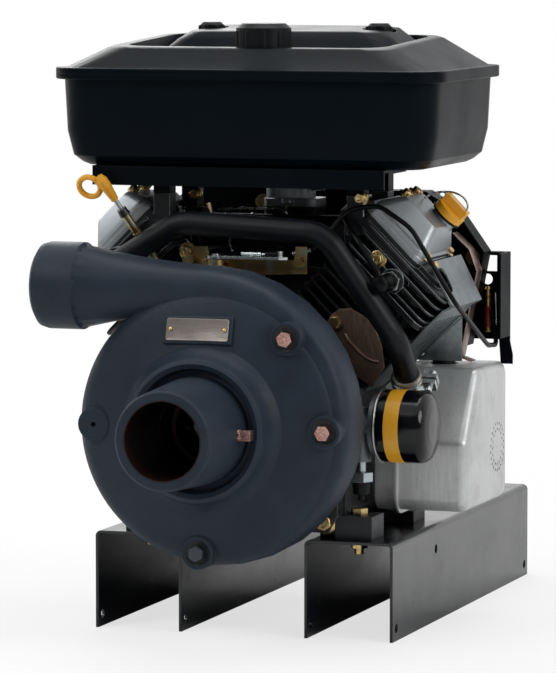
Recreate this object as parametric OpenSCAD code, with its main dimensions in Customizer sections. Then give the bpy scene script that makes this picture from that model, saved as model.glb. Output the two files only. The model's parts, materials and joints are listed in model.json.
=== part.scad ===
// Air-cooled V-twin gasoline engine with a close-coupled centrifugal pump, on two skid rails.
// X points to the muffler side, Y away from the pump's suction, Z up. The shaft lies along Y.

/* [Base rails] */
// Length of each rail
rail_len = 511; // [470:1:560]
// Width of each rail over its legs
rail_w = 95; // [88:1:110]
// Height of each rail
rail_h = 102; // [80:1:130]
// Sheet thickness of the rails
rail_sheet = 3; // [2:0.5:5]
// Gap between the two rails
rail_gap = 134; // [126:1:150]
// Diameter of the holes in the rails' legs
rail_hole = 9.5; // [6:0.5:12]
// Distance of the leg holes from the rail's end and from the floor
rail_hole_inset = 13; // [9:0.5:18]

/* [Shaft line] */
// Height of the crankshaft axis above the rails
axis_rise = 125.5; // [120:0.5:140]
// Diameter of the crankshaft's main journals
journal_d = 36; // [32:1:40]
// Diameter of the shaft where it leaves the crankcase
shaft_d = 30; // [27:0.5:31]
// Diameter of the impeller's seat on the shaft
impeller_seat_d = 25; // [23:0.5:26]
// Diameter of the threaded shaft ends
thread_d = 20; // [16:0.5:21]

/* [Pump] */
// Outer diameter of the suction nozzle
suction_od = 100; // [94:1:104]
// Bore of the suction nozzle
suction_bore = 78.5; // [74:0.5:82]
// Distance from the casing's back to the suction face
suction_reach = 202; // [180:1:230]
// Radius of the pump casing
casing_r = 140; // [136:1:146]
// Depth of the casing's straight side
casing_side = 57; // [52:1:62]
// Outer diameter of the discharge collar
discharge_od = 89; // [86:0.5:92]
// Bore of the discharge
discharge_bore = 66; // [60:0.5:70]
// Height of the discharge above the shaft
discharge_rise = 137; // [132:1:142]
// Distance from the shaft to the discharge face
discharge_reach = 188; // [180:1:205]
// Radius of the casing bolts' circle
ear_circle_r = 127; // [124:0.5:130]
// Diameter of the casing's bolt ears
ear_d = 33; // [28:1:36]
// Diameter of the impeller
impeller_d = 206; // [180:1:212]
// Number of impeller vanes
vane_count = 6; // [4:1:8]
// Length of the bracket between pump and engine
bracket_len = 53; // [50:1:65]
// Thickness of the bracket's back plate
backplate_t = 12; // [9:0.5:15]

/* [Crankcase] */
// Length of the crankcase
case_len = 190; // [184:1:210]
// Width of the crankcase
case_w = 196; // [192:1:206]
// Wall of the crankcase
case_wall = 8; // [6:0.5:10]
// Distance of the cylinder decks from the shaft axis
deck_h = 86; // [84:0.5:92]
// Thickness of the rear cover
cover_plate = 12; // [10:0.5:16]
// Diameter of the foot bolts
foot_bolt_d = 10; // [8:1:12]

/* [Cylinders] */
// Cylinder bore
bore = 72; // [66:0.5:74]
// Piston stroke
stroke = 70; // [62:1:72]
// Length of the connecting rods
rod_len = 116; // [114:1:120]
// Distance between the two cylinders along the shaft
bank_offset = 23; // [20:1:28]
// Width of the cooling fins
fin_w = 122; // [110:1:126]
// Depth of the cooling fins along the shaft
fin_d = 124; // [112:1:126]
// Thickness of a cooling fin
fin_t = 2.4; // [1.8:0.1:3]
// Spacing of the cooling fins
fin_pitch = 10; // [8:0.5:12]
// Height of a cylinder head
head_h = 48; // [44:1:54]
// Width of a valve cover
cover_w = 84; // [76:1:90]
// Depth of a valve cover along the shaft
cover_d = 106; // [96:1:112]
// Height of a valve cover
cover_h = 34; // [28:1:40]
// Offset of the valve covers towards the vee
cover_shift = 30; // [24:1:34]

/* [Valve gear] */
// Tooth module of the timing gears
gear_module = 2.5; // [2.4:0.05:2.6]
// Teeth of the crankshaft gear
crank_teeth = 20; // [18:2:20]
// Width of the timing gears
gear_w = 14; // [10:1:16]
// Backlash of the timing gears
backlash = 0.4; // [0.2:0.05:0.8]

/* [Fuel tank] */
// Width of the tank over its rim
tank_w = 422; // [400:1:440]
// Depth of the tank over its rim
tank_d = 265; // [250:1:280]
// Height of the tank's lower shell
tank_h = 95; // [80:1:110]
// Height of the upper shell above the rim's seam
tank_top_h = 27; // [24:1:34]
// Wall of the tank
tank_wall = 4; // [3:0.5:6]
// Distance of the tank's front rim ahead of the rails' front edge
tank_front = 15; // [5:1:25]
// Diameter of the fuel cap
fuel_cap_d = 60; // [54:1:66]
// Height of the air cleaner's cover
dome_h = 25; // [20:1:32]

/* [Exhaust] */
// Outer diameter of the exhaust pipes
pipe_d = 24.5; // [22:0.5:26]
// Width of the muffler
muffler_w = 103; // [95:1:107]
// Depth of the muffler along the shaft
muffler_d = 155; // [140:1:158]
// Height of the muffler
muffler_h = 146; // [138:1:150]

/* [Lubrication] */
// Diameter of the oil filter
filter_d = 75; // [68:1:78]
// Length of the oil filter
filter_len = 58; // [52:1:66]
// Diameter of the dipstick tube
stick_tube_d = 9; // [8:0.5:10]
// Diameter of the oil filler cap
oil_cap_d = 34; // [28:1:38]

/* [Cooling] */
// Diameter of the flywheel
flywheel_d = 180; // [160:1:184]
// Depth of the blower housing
housing_d = 88; // [84:1:100]
// Number of fan blades
blade_count = 16; // [10:1:20]
// Sheet thickness of housings and brackets
sheet = 2; // [1.5:0.1:2.4]

/* [Clearances] */
// Radial clearance of running fits
running_fit = 0.05; // [0.02:0.01:0.1]
// Clearance of bolts and slip fits
slip_fit = 0.3; // [0.2:0.05:0.5]

/* [Hidden] */
$fn = 72;
eps = 0.5;
bank_angle = 45;
half = sqrt(0.5);

// Heights and depths of the main stations
axis_z = rail_h + axis_rise;
case_y0 = 15;
case_y1 = case_y0 + case_len;
back_y = case_y0 - bracket_len;
suction_y = back_y - suction_reach;
mid_y = (suction_y + rail_len) / 2;
rail_x = rail_gap / 2 + rail_w / 2;

// Stations along a cylinder's axis
throw = stroke / 2;
pin_top = rod_len + throw;
pin_rest = throw * half + sqrt(rod_len * rod_len - stroke * stroke / 8);
crown_h = 28;
skirt_h = 24;
head_z = pin_top + crown_h + 3;
head_top = head_z + head_h;
flange_t = 10;
cover_u = -cover_shift;
bank_mid_y = case_y0 + 86.5;
function bank_y(side) = bank_mid_y + side * bank_offset / 2;

// Timing gears
cam_teeth = 2 * crank_teeth;
cam_rise = gear_module * (crank_teeth + cam_teeth) / 2;
gear_y = case_y1 - gear_w - 7;

// Tank stack: the tray rests on pads on the heads
pad_z = axis_z + (head_top + flange_t + cover_w / 2 + cover_shift) * half + 4;
tray_h = 30;
tank_z = pad_z + tray_h;
rim_z = tank_z + tank_h;
rim_t = 6;
tank_y = -tank_front;
top_z = rim_z + tank_top_h;
recess_z = top_z - 10;
well_x = tank_w / 2 - 95;
well_y = [tank_y + 128, tank_y + 243];
filler_y = tank_y + 83;

// Rear stations
cover_y1 = case_y1 + cover_plate;
housing_y0 = cover_y1;
housing_y1 = housing_y0 + housing_d;
wheel_y = housing_y0 + 34;
wheel_hub = 24;
screen_y = wheel_y + 38;

// Oil filter and dipstick stations, about the shaft line
filter_y = case_y0 + 20;
filter_z = -8.5;
deck_half = 54;
side_x = max(case_w / 2, (deck_h + deck_half) * half);
filter_pad = side_x + 3;
filter_x = side_x + 39;
stick_base = [-46, case_y0 + 7, 76];
stick_bend = [-119, case_y0 + 7, 179];
tube_way = unit(stick_bend - stick_base);
stick_way = unit([-29.5, -30, 58.4]);
stick_seat = 8;
stick_d = 5;
stick_top = 30;
stick_grip = 46;

// Cylinder along Y from y0 to y1
module y_rod(d, y0, y1) translate([0, y0, 0]) rotate([-90, 0, 0]) cylinder(d = d, h = y1 - y0);

// Ring along Y from y0 to y1
module y_ring(d_out, d_in, y0, y1) difference() {
  y_rod(d_out, y0, y1);
  y_rod(d_in, y0 - eps, y1 + eps);
}

// Solid of revolution about Y from points of [radius, y]
module y_turned(profile) rotate([-90, 0, 0]) rotate_extrude() polygon(profile);

// Cylinder along X from x0 to x1
module x_rod(d, x0, x1) translate([x0, 0, 0]) rotate([0, 90, 0]) cylinder(d = d, h = x1 - x0);

// Solid of revolution about X from points of [radius, x]
module x_turned(profile) rotate([0, 90, 0]) rotate_extrude() polygon(profile);

// Outline in X and Z carried along Y from y0 to y1
module y_prism(y0, y1) translate([0, y1, 0]) rotate([90, 0, 0]) linear_extrude(y1 - y0) children();

// Box between two corners
module box(low, high) translate(low) cube(high - low);

// Rectangle with rounded corners, centred
module rounded_rect(w, h, r) {
  square([w - 2 * r, h], center = true);
  square([w, h - 2 * r], center = true);
  for (sx = [-1, 1], sy = [-1, 1])
    translate([sx * (w / 2 - r), sy * (h / 2 - r)]) circle(r);
}

// Hexagon bolt along +Z, its seat at zero and its shank below
module hex_bolt(d, shank, head = 0.65) {
  cylinder(d = 1.8 * d, h = head * d, $fn = 6);
  translate([0, 0, -shank]) cylinder(d = d, h = shank + eps);
}

// Solid through rings of points that turn right-handed about the way they follow
module loft(rings) {
  n = len(rings[0]);
  m = len(rings);
  points = [for (ring = rings) each ring];
  faces = concat(
    [[for (i = [0 : n - 1]) i]],
    [[for (i = [0 : n - 1]) m * n - 1 - i]],
    [for (j = [0 : m - 2], i = [0 : n - 1])
      [j * n + i, (j + 1) * n + (i + 1) % n, j * n + (i + 1) % n]],
    [for (j = [0 : m - 2], i = [0 : n - 1])
      [j * n + i, (j + 1) * n + i, (j + 1) * n + (i + 1) % n]]);
  polyhedron(points, faces, convexity = 6);
}

// Ring of a rounded rectangle in X and Y, with a slope of height along Y
function rect_ring(x0, x1, y0, y1, r, z, slope = 0, steps = 5) = [
  for (c = [0 : 3], i = [0 : steps])
    let (a = 90 * c - 90 + 90 * i / steps,
      cx = (c == 0 || c == 1) ? x1 - r : x0 + r,
      cy = (c == 1 || c == 2) ? y1 - r : y0 + r,
      y = cy + r * sin(a))
    [cx + r * cos(a), y, z + slope * (y - y0)]];

// Smooth path through points: straight runs joined by an arc at each corner
function unit(v) = v / norm(v);
function corner_arc(a, b, c, r, steps) =
  let (u = unit(a - b), w = unit(c - b), turn = acos(u * w), cut = r / tan(turn / 2),
    p = b + u * cut, centre = b + unit(u + w) * r / sin(turn / 2), n = p - centre,
    sweep = 180 - turn)
  [for (i = [0 : steps]) let (t = sweep * i / steps) centre + n * cos(t) - u * r * sin(t)];
function smooth_path(p, r, steps = 6) = concat([p[0]],
  [for (i = [1 : len(p) - 2]) each corner_arc(p[i - 1], p[i], p[i + 1], r[i - 1], steps)],
  [p[len(p) - 1]]);
function tangent(p, i) = unit(p[min(i + 1, len(p) - 1)] - p[max(i - 1, 0)]);
function squared(n, t) = unit(n - (n * t) * t);
function normals(p, start) = [for (i = 0, n = squared(start, tangent(p, 0)); i < len(p);
  i = i + 1, n = squared(n, tangent(p, min(i, len(p) - 1)))) n];

// Round rod along a path
module swept_rod(path, d, sides, start = [0.1, 0.2, 1]) {
  n = normals(path, start);
  loft([for (i = [0 : len(path) - 1]) let (b = cross(tangent(path, i), n[i]))
    [for (k = [0 : sides - 1]) let (a = 360 * k / sides)
      path[i] + d / 2 * (n[i] * cos(a) + b * sin(a))]]);
}

// Frame with its origin on the shaft line
module on_shaft() translate([0, 0, axis_z]) children();

// Frame of a cylinder: Z along its axis, X outwards and down, Y along the shaft
module bank(side) translate([0, bank_y(side), axis_z]) {
  if (side > 0) rotate([0, bank_angle, 0]) children();
  else mirror([1, 0, 0]) rotate([0, bank_angle, 0]) children();
}

// Whole part moved so that its origin lies under the middle of its box
module place() translate([0, -mid_y, 0]) children();

// Base rails

foot_y = [case_y0 + 22, case_y1 - 22];
foot_h = [24, 12];

// Channel section, open at the bottom
module channel_outline() difference() {
  union() {
    translate([0, rail_h / 2]) rounded_rect(rail_w, rail_h, 2 * rail_sheet);
    translate([-rail_w / 2, 0]) square([rail_w, rail_h / 2]);
  }
  translate([0, rail_h / 2 - rail_sheet])
    rounded_rect(rail_w - 2 * rail_sheet, rail_h, rail_sheet);
  translate([-rail_w / 2 + rail_sheet, -eps]) square([rail_w - 2 * rail_sheet, rail_h / 2]);
}

module rail(side) translate([side * rail_x, 0, 0]) difference() {
  y_prism(0, rail_len) channel_outline();
  for (y = [rail_hole_inset, rail_len - rail_hole_inset])
    translate([0, y, rail_hole_inset]) x_rod(rail_hole, -rail_w, rail_w);
  translate([0, rail_len * 0.3, rail_h * 0.75]) x_rod(rail_hole, -rail_w, rail_w);
  for (y = foot_y)
    translate([0, y, rail_h / 2]) cylinder(d = foot_bolt_d + 2 * slip_fit, h = rail_h);
}

module rail_left() color("#1b1e22") place() rail(-1);

module rail_right() color("#1b1e22") place() rail(1);

// Bolts through the crankcase feet and the rails, with their nuts
module foot_bolts() color("#c8c4a8") place() {
  for (side = [-1, 1], k = [0, 1]) translate([side * rail_x, foot_y[k], rail_h + foot_h[k]]) {
    hex_bolt(foot_bolt_d, foot_h[k] + rail_sheet + 14);
    translate([0, 0, -foot_h[k] - rail_sheet - 0.8 * foot_bolt_d]) difference() {
      cylinder(d = 1.8 * foot_bolt_d, h = 0.8 * foot_bolt_d, $fn = 6);
      translate([0, 0, -eps]) cylinder(d = foot_bolt_d, h = foot_bolt_d);
    }
  }
}

// Pump

front_y = back_y - casing_side - 18;
chamber_r = 118;
chamber_y = front_y + 14;
discharge_y = back_y - 44;
neck_x = -(discharge_reach - 50);
bolt_angles = [0, 46.7, 267];
blank_ear_x = 9 - ear_circle_r;
ear_y = front_y - 7;
pump_bolt_d = 9;
seal_d = 52;
bell_r = 68;

// Growth of the scroll from its tongue, at 150 degrees, to its top, at 450 degrees
function grown(a) = (a - 150) / 300;
function scroll_out(a) = casing_r + 0.5 + 19.5 * pow(grown(a), 2.2);
function scroll_half(a) = 6 + 16 * pow(grown(a), 1.2);
function scroll_depth(a) = 31 + 3 * grown(a);
function scroll_y(a) = back_y - 33 - 5 * grown(a);

// Rounded section of the scroll, in its own radial and axial directions
function soft(c) = sign(c) * pow(abs(c), 0.72);
function scroll_ring(a, mid, reach, depth, sides = 20) = [
  for (k = [0 : sides - 1]) let (b = 360 * k / sides, r = mid + reach * soft(cos(b)))
    [r * cos(a), scroll_y(a) + depth * soft(sin(b)), r * sin(a)]];

// Section of the discharge neck at a share of its run
function neck_ring(s, reach0, depth0, mid0, reach1, sides = 20) = [
  for (k = [0 : sides - 1])
    let (b = 360 * k / sides, e = s * s * (3 - 2 * s), w = pow(s, 1.6),
      reach = reach0 + (reach1 - reach0) * w, depth = depth0 + (reach1 - depth0) * w,
      mid = mid0 + (discharge_rise - mid0) * e, y = scroll_y(450) + (discharge_y - scroll_y(450)) * e,
      c = soft(cos(b)) * (1 - s) + cos(b) * s, d = soft(sin(b)) * (1 - s) + sin(b) * s)
    [neck_x * s, y + depth * d, mid + reach * c]];

// Scroll and neck, thinned by a wall and reaching inwards to a radius
module scroll(wall, inner) {
  function mid(a) = inner > 0 ? (scroll_out(a) - wall + inner) / 2 : scroll_out(a) - scroll_half(a);
  function reach(a) = inner > 0 ? (scroll_out(a) - wall - inner) / 2 : scroll_half(a);
  loft(concat(
    [for (a = [150 : 12 : 450]) scroll_ring(a, mid(a), reach(a), scroll_depth(a) - wall)],
    [for (k = [1 : 6]) neck_ring(k / 6, reach(450), scroll_depth(450) - wall, mid(450),
      discharge_od / 2 - 2.5 - wall)]));
}

module pump_volute() color("#37424f") place() on_shaft() difference() {
  union() {
    y_turned([[0, suction_y], [suction_od / 2 - 2, suction_y], [suction_od / 2, suction_y + 2],
      [suction_od / 2 + 4, front_y - 45], [suction_od / 2 + 5, front_y - 26],
      [suction_od / 2 + 10, front_y - 24], [suction_od / 2 + 13, front_y - 36],
      [suction_od / 2 + 18, front_y - 38], [suction_od / 2 + 22, front_y - 35],
      [suction_od / 2 + 26, front_y - 20], [suction_od / 2 + 34, front_y - 11],
      [casing_r - 15, front_y], [casing_r - 9, front_y + 3], [casing_r - 3, front_y + 9],
      [casing_r, front_y + 18], [casing_r, back_y], [0, back_y]]);
    scroll(0, 0);
    translate([0, discharge_y, discharge_rise]) x_turned([[0, -discharge_reach],
      [discharge_od / 2 - 8, -discharge_reach], [discharge_od / 2 - 2, -discharge_reach + 4],
      [discharge_od / 2, -discharge_reach + 11], [discharge_od / 2, neck_x - 3],
      [discharge_od / 2 - 3, neck_x + 1], [0, neck_x + 1]]);
    for (a = bolt_angles) rotate([0, -a, 0]) translate([ear_circle_r, 0, 0])
      y_rod(ear_d, ear_y, back_y - 2);
    translate([blank_ear_x, 0, 0]) y_rod(ear_d, ear_y, back_y - 2);
  }
  y_rod(suction_bore, suction_y - eps, front_y - 30);
  y_rod(throat_d, front_y - 31, back_y - 30);
  y_rod(2 * chamber_r, chamber_y, back_y + eps);
  scroll(8, chamber_r - 10);
  translate([0, discharge_y, discharge_rise])
    x_rod(discharge_bore, -discharge_reach - eps, neck_x + 8);
  for (a = bolt_angles) rotate([0, -a, 0]) translate([ear_circle_r, 0, 0])
    y_rod(pump_bolt_d + 2 * slip_fit, ear_y - eps, back_y + eps);
  translate([blank_ear_x, 0, 0]) y_rod(5, ear_y - eps, ear_y + 10);
  translate([0, front_y - 52, 0]) x_rod(12, suction_od / 2 - 15, suction_od);
}

// Back plate of the pump and the bell that joins it to the engine
module pump_bracket() color("#2c343e") place() on_shaft() difference() {
  union() {
    y_rod(2 * casing_r - 2, back_y, back_y + backplate_t);
    y_turned([[0, back_y + eps], [bell_r - 10, back_y + eps], [bell_r - 5, case_y0 - 11],
      [bell_r, case_y0 - 10], [bell_r, case_y0], [0, case_y0]]);
    for (a = bolt_angles) rotate([0, -a, 0]) translate([ear_circle_r, 0, 0])
      y_rod(ear_d - 8, back_y + 2, back_y + backplate_t + 10);
  }
  y_rod(seal_d, back_y - eps, back_y + 10);
  y_rod(shaft_d + 6, back_y, case_y0 + eps);
  y_turned([[0, back_y + backplate_t + 8], [bell_r - 19, back_y + backplate_t + 8],
    [bell_r - 14, case_y0 + eps], [0, case_y0 + eps]]);
  for (side = [-1, 1]) translate([side * bell_r, case_y0 - 21, 0]) rounded_window(60, 16);
  for (a = bolt_angles) rotate([0, -a, 0]) translate([ear_circle_r, 0, 0])
    y_rod(pump_bolt_d + 2 * slip_fit, back_y - eps, back_y + 40);
}

// Cutter for a side window in the bracket's bell
module rounded_window(w, h) rotate([0, 90, 0]) linear_extrude(80, center = true)
  rounded_rect(w, h, h / 2 - 1);

module pump_bolts() color("#c08a72") place() on_shaft() for (a = bolt_angles) rotate([0, -a, 0])
  translate([ear_circle_r, ear_y, 0]) rotate([90, 0, 0])
    hex_bolt(pump_bolt_d, back_y + backplate_t - ear_y - 2);

// Square-headed plug in the side of the suction nozzle
module suction_plug() color("#c39a86") place() on_shaft() translate([0, front_y - 52, 0]) {
  x_rod(12 - 0.1, suction_od / 2 - 7, suction_od / 2 + 6);
  box([suction_od / 2 + 6 - eps, -5, -5], [suction_od / 2 + 17, 5, 5]);
}

// Closed impeller: back shroud, curved vanes, front shroud and eye
throat_d = suction_bore - 2;
eye_d = throat_d - 2;
vane_y0 = chamber_y + 12;
vane_y1 = back_y - 20;

module vane_outline() intersection() {
  difference() {
    circle(d = impeller_d - 1);
    circle(d = eye_d - 24);
  }
  translate([impeller_d * 0.06, -impeller_d * 0.27]) difference() {
    circle(r = impeller_d * 0.31);
    circle(r = impeller_d * 0.31 - 4);
    translate([-impeller_d, -impeller_d * 0.12]) square([impeller_d, impeller_d * 2]);
    translate([-impeller_d, -2 * impeller_d]) square([2 * impeller_d, 2 * impeller_d - 10]);
  }
}

module impeller() color("#6b4a38") place() on_shaft() difference() {
  union() {
    y_turned([[0, vane_y1], [impeller_d / 2, vane_y1], [impeller_d / 2, vane_y1 + 5],
      [44, vane_y1 + 8], [0, vane_y1 + 8]]);
    y_turned([[eye_d / 2 - 4.5, chamber_y - 12], [eye_d / 2, chamber_y - 12],
      [eye_d / 2, chamber_y + 2], [impeller_d / 2, vane_y0 - 3], [impeller_d / 2, vane_y0 + 1],
      [eye_d / 2 - 4.5, vane_y0 + 1]]);
    for (k = [0 : vane_count - 1]) rotate([0, 360 * k / vane_count, 0])
      y_prism(vane_y0, vane_y1 + eps) vane_outline();
    y_rod(impeller_seat_d + 14, chamber_y + 8, vane_y1 + eps);
  }
  y_rod(impeller_seat_d + 2 * running_fit, chamber_y, back_y);
}

module impeller_nut() color("#b9b29a") place() on_shaft() difference() {
  union() {
    translate([0, chamber_y + 8, 0]) rotate([90, 0, 0])
      cylinder(d = thread_d * 1.7, h = 12, $fn = 6);
    y_rod(impeller_seat_d + 12, chamber_y + 5, chamber_y + 8);
  }
  y_rod(thread_d + 2 * running_fit, chamber_y - 10, back_y);
}

// Stationary ring of the shaft seal, in the back plate
module seal_seat() color("#d8d4c8") place() on_shaft()
  y_ring(seal_d - 2 * running_fit, shaft_d + 2, back_y, back_y + 10);

// Turning ring of the shaft seal, on the shaft behind the impeller
module seal_head() color("#33302d") place() on_shaft()
  y_ring(seal_d - 8, shaft_d + 2 * running_fit, vane_y1 + 8, back_y - slip_fit);

// Crankcase and shafts

sump_gap = 6;
front_wall = 12;
bearing_d = journal_d + 36;
bearing_w = 19;
bearing_y = [case_y0 + 4, case_y1 + 3];
spigot_d = bore + 10;
spigot_len = 12;
cam_journal_d = 20;
cam_gear_r = gear_module * (cam_teeth + 2) / 2;
hump_r = cam_gear_r + 3 + case_wall;
hump_y = gear_y - 7;
web_t = 18;
pin_len = 54;
pin_d = 36;
web_r = throw + pin_d / 2 - 1;
lobe_r = 14;

// Half-width, floor and deck corners of the crankcase section, drawn in by a wall
function case_points(d) = let (w = case_w / 2 - d, floor_z = sump_gap - axis_rise + d,
    h = (deck_h - d) * half, e = (deck_half - d) * half)
  [[w - 10, floor_z], [w, floor_z + 18], [h + e, h - e], [h - e, h + e],
    [e - h, h + e], [-h - e, h - e], [-w, floor_z + 18], [10 - w, floor_z]];

module case_section(d) polygon(case_points(d));

module foot(side, y, h) translate([side * rail_x, y, -axis_rise]) difference() {
  union() {
    box([-20, -20, 0], [20, 20, h]);
    box([side > 0 ? -40 : 12, -8, 0], [side > 0 ? -12 : 40, 8, h + 34]);
  }
  translate([0, 0, -eps]) cylinder(d = foot_bolt_d + 2 * slip_fit, h = h + 40);
}

module crankcase() color("#83878a") place() on_shaft() difference() {
  union() {
    y_prism(case_y0, case_y1) case_section(0);
    translate([0, 0, cam_rise]) y_rod(2 * hump_r, hump_y, case_y1);
    for (side = [-1, 1], k = [0, 1]) foot(side, foot_y[k], foot_h[k]);
    translate([0, filter_y, filter_z]) x_rod(44, side_x - case_wall - 1, filter_pad);
  }
  difference() {
    union() {
      y_prism(case_y0 + front_wall, case_y1 + eps) case_section(case_wall);
      translate([0, 0, cam_rise]) y_rod(2 * hump_r - 2 * case_wall, gear_y - 2, case_y1 + eps);
      translate([0, 0, cam_rise]) y_rod(2 * lobe_r + 6, case_y0 + front_wall, case_y1);
    }
    y_rod(bearing_d + 14, case_y0, bearing_y[0] + bearing_w);
    translate([0, 0, cam_rise]) y_rod(cam_journal_d + 10, case_y0, case_y0 + front_wall + 6);
  }
  y_rod(bearing_d + 2 * running_fit, bearing_y[0], bearing_y[0] + bearing_w + eps);
  y_rod(journal_d + 4, case_y0 - eps, case_y1);
  translate([0, 0, cam_rise])
    y_rod(cam_journal_d + 2 * running_fit, case_y0 + 4, case_y0 + front_wall + 7);
  for (side = [-1, 1]) translate([0, bank_y(side), 0]) rotate([0, side * bank_angle, 0])
    translate([0, 0, deck_h * 0.6]) cylinder(d = spigot_d + 2 * slip_fit, h = deck_h);
  translate(stick_base) multmatrix(frame_of(tube_way)) translate([0, 0, -stick_seat - slip_fit])
    cylinder(d = stick_tube_d + 1.2 + 2 * slip_fit, h = 40);
  translate([0, filter_y, filter_z]) x_rod(20, side_x - 2 * case_wall - 1, filter_pad + eps);
}

// Rear cover with the outer bearing's boss
module rear_cover() color("#7a7e81") place() on_shaft() difference() {
  union() {
    y_prism(case_y1, cover_y1) case_section(0);
    translate([0, 0, cam_rise]) y_rod(2 * hump_r, case_y1, cover_y1);
    y_rod(bearing_d + 14, case_y1, bearing_y[1] + bearing_w + 3);
  }
  y_rod(bearing_d + 2 * running_fit, case_y1 - eps, bearing_y[1] + bearing_w);
  y_rod(journal_d + 4, case_y1, cover_y1 + 40);
  translate([0, 0, cam_rise])
    y_rod(cam_journal_d + 2 * running_fit, case_y1 - eps, case_y1 + 8);
}

module main_bearings() color("#a9adb0") place() on_shaft() for (y = bearing_y)
  y_ring(bearing_d, journal_d + 2 * running_fit, y, y + bearing_w);

// Web of the crankshaft: a strip round the crankpin and a half-round counterweight
module web_outline() intersection() {
  circle(r = web_r);
  union() {
    translate([-pin_d, -web_r]) square([2 * pin_d, 2 * web_r]);
    translate([-web_r, -web_r]) square([2 * web_r, web_r * 0.9]);
  }
}

module crankshaft() color("#8d9194") place() on_shaft() {
  web_y = [bank_mid_y - pin_len / 2 - web_t, bank_mid_y + pin_len / 2];
  y_rod(thread_d, chamber_y - 7, chamber_y + 8 + eps);
  y_rod(impeller_seat_d, chamber_y + 8, vane_y1 + 8 + eps);
  y_rod(shaft_d, vane_y1 + 8, case_y0 + 2);
  y_rod(journal_d, case_y0 + 2 - eps, web_y[0] + eps);
  y_rod(journal_d, web_y[1] + web_t - eps, bearing_y[1] + bearing_w + 2);
  y_rod(shaft_d, bearing_y[1] + bearing_w, wheel_y + wheel_hub);
  y_rod(thread_d, wheel_y + wheel_hub - eps, wheel_y + wheel_hub + 18);
  translate([0, 0, throw]) y_rod(pin_d, web_y[0] + eps, web_y[1] + eps);
  for (y = web_y) y_prism(y, y + web_t) web_outline();
}

// Involute gear outline, its first tooth along +X
function inv(a) = tan(a) * 180 / PI - a;
function tooth_half(z, r) = let (base = gear_module * z / 2 * cos(20))
  90 / z + inv(20) - inv(acos(min(1, base / r))) - backlash / gear_module / z * 90 / PI;
function gear_radii(z) = let (p = gear_module * z / 2, base = max(p * cos(20), p - 1.25 * gear_module),
    tip = p + gear_module)
  [p - 1.25 * gear_module, base, base + 0.3 * (tip - base), base + 0.65 * (tip - base), tip];
function gear_points(z) = let (radii = gear_radii(z), last = len(radii) - 1) [
  for (k = [0 : z - 1]) each concat(
    [for (i = [0 : last]) let (a = 360 * k / z - tooth_half(z, radii[i])) radii[i] * [cos(a), sin(a)]],
    [for (i = [last : -1 : 0]) let (a = 360 * k / z + tooth_half(z, radii[i]))
      radii[i] * [cos(a), sin(a)]])];

module crank_gear() color("#9b9fa2") place() on_shaft() difference() {
  y_prism(gear_y, gear_y + gear_w) rotate(90) polygon(gear_points(crank_teeth));
  y_rod(journal_d + 2 * running_fit, gear_y - eps, gear_y + gear_w + eps);
}

module cam_gear() color("#5f6366") place() on_shaft() translate([0, 0, cam_rise]) difference() {
  y_prism(gear_y, gear_y + gear_w) rotate(90 + 180 / cam_teeth) polygon(gear_points(cam_teeth));
  y_rod(cam_journal_d + 2 * running_fit, gear_y - eps, gear_y + gear_w + eps);
  for (k = [0 : 5]) rotate([0, 60 * k, 0]) translate([cam_gear_r * 0.56, 0, 0])
    y_rod(16, gear_y - eps, gear_y + gear_w + eps);
}

// Camshaft with an inlet and an exhaust lobe for each cylinder
module camshaft() color("#777b7e") place() on_shaft() translate([0, 0, cam_rise]) {
  y_rod(cam_journal_d, case_y0 + 5, case_y1 + 7);
  for (side = [-1, 1], k = [0, 1])
    translate([0, bank_y(side) - 18 + 36 * k, 0]) rotate([0, 110 * k + 90 * side, 0]) {
      y_rod(22, -5, 5);
      translate([lobe_r - 6, 0, 0]) y_rod(12, -5, 5);
    }
}

// Piston with three ring grooves, a hollow skirt and its pin bore
module piston(side) bank(side) translate([0, 0, pin_rest]) difference() {
  translate([0, 0, -skirt_h]) cylinder(d = bore - 2 * running_fit, h = skirt_h + crown_h);
  translate([0, 0, -skirt_h - eps]) cylinder(d = bore - 14, h = skirt_h + crown_h - 12 + eps);
  for (k = [0 : 2]) translate([0, 0, crown_h - 7 - 5 * k]) difference() {
    cylinder(d = bore + 2, h = 2);
    translate([0, 0, -eps]) cylinder(d = bore - 6, h = 2 + 2 * eps);
  }
  y_rod(18, -bore, bore);
}

module piston_left() color("#b3b6b8") place() piston(-1);

module piston_right() color("#b3b6b8") place() piston(1);

// Cylinders and heads

fin_r = 12;
barrel_fins = floor((head_z - deck_h - 12) / fin_pitch);
head_fins = floor((head_h - 14) / fin_pitch) + 1;
fin_top = head_z + 10 + (head_fins - 1) * fin_pitch + fin_t;
exhaust_v = head_z + 27;
exhaust_u = -2.5;
port_reach = fin_d / 2 + 4;
plug_v = head_z + 18;
plug_u = 4;
intake_z = (head_z + 18 + fin_w / 2) * half;
intake_x = (head_z + 18 - fin_w / 2) * half;
intake_d = 34;
pad_y = cover_d / 2 - 10;
baffle_u = -7.3;
baffle_v = deck_h + 41;
pad_x = (head_top - cover_w / 2 - cover_shift) * half - 10;

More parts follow.
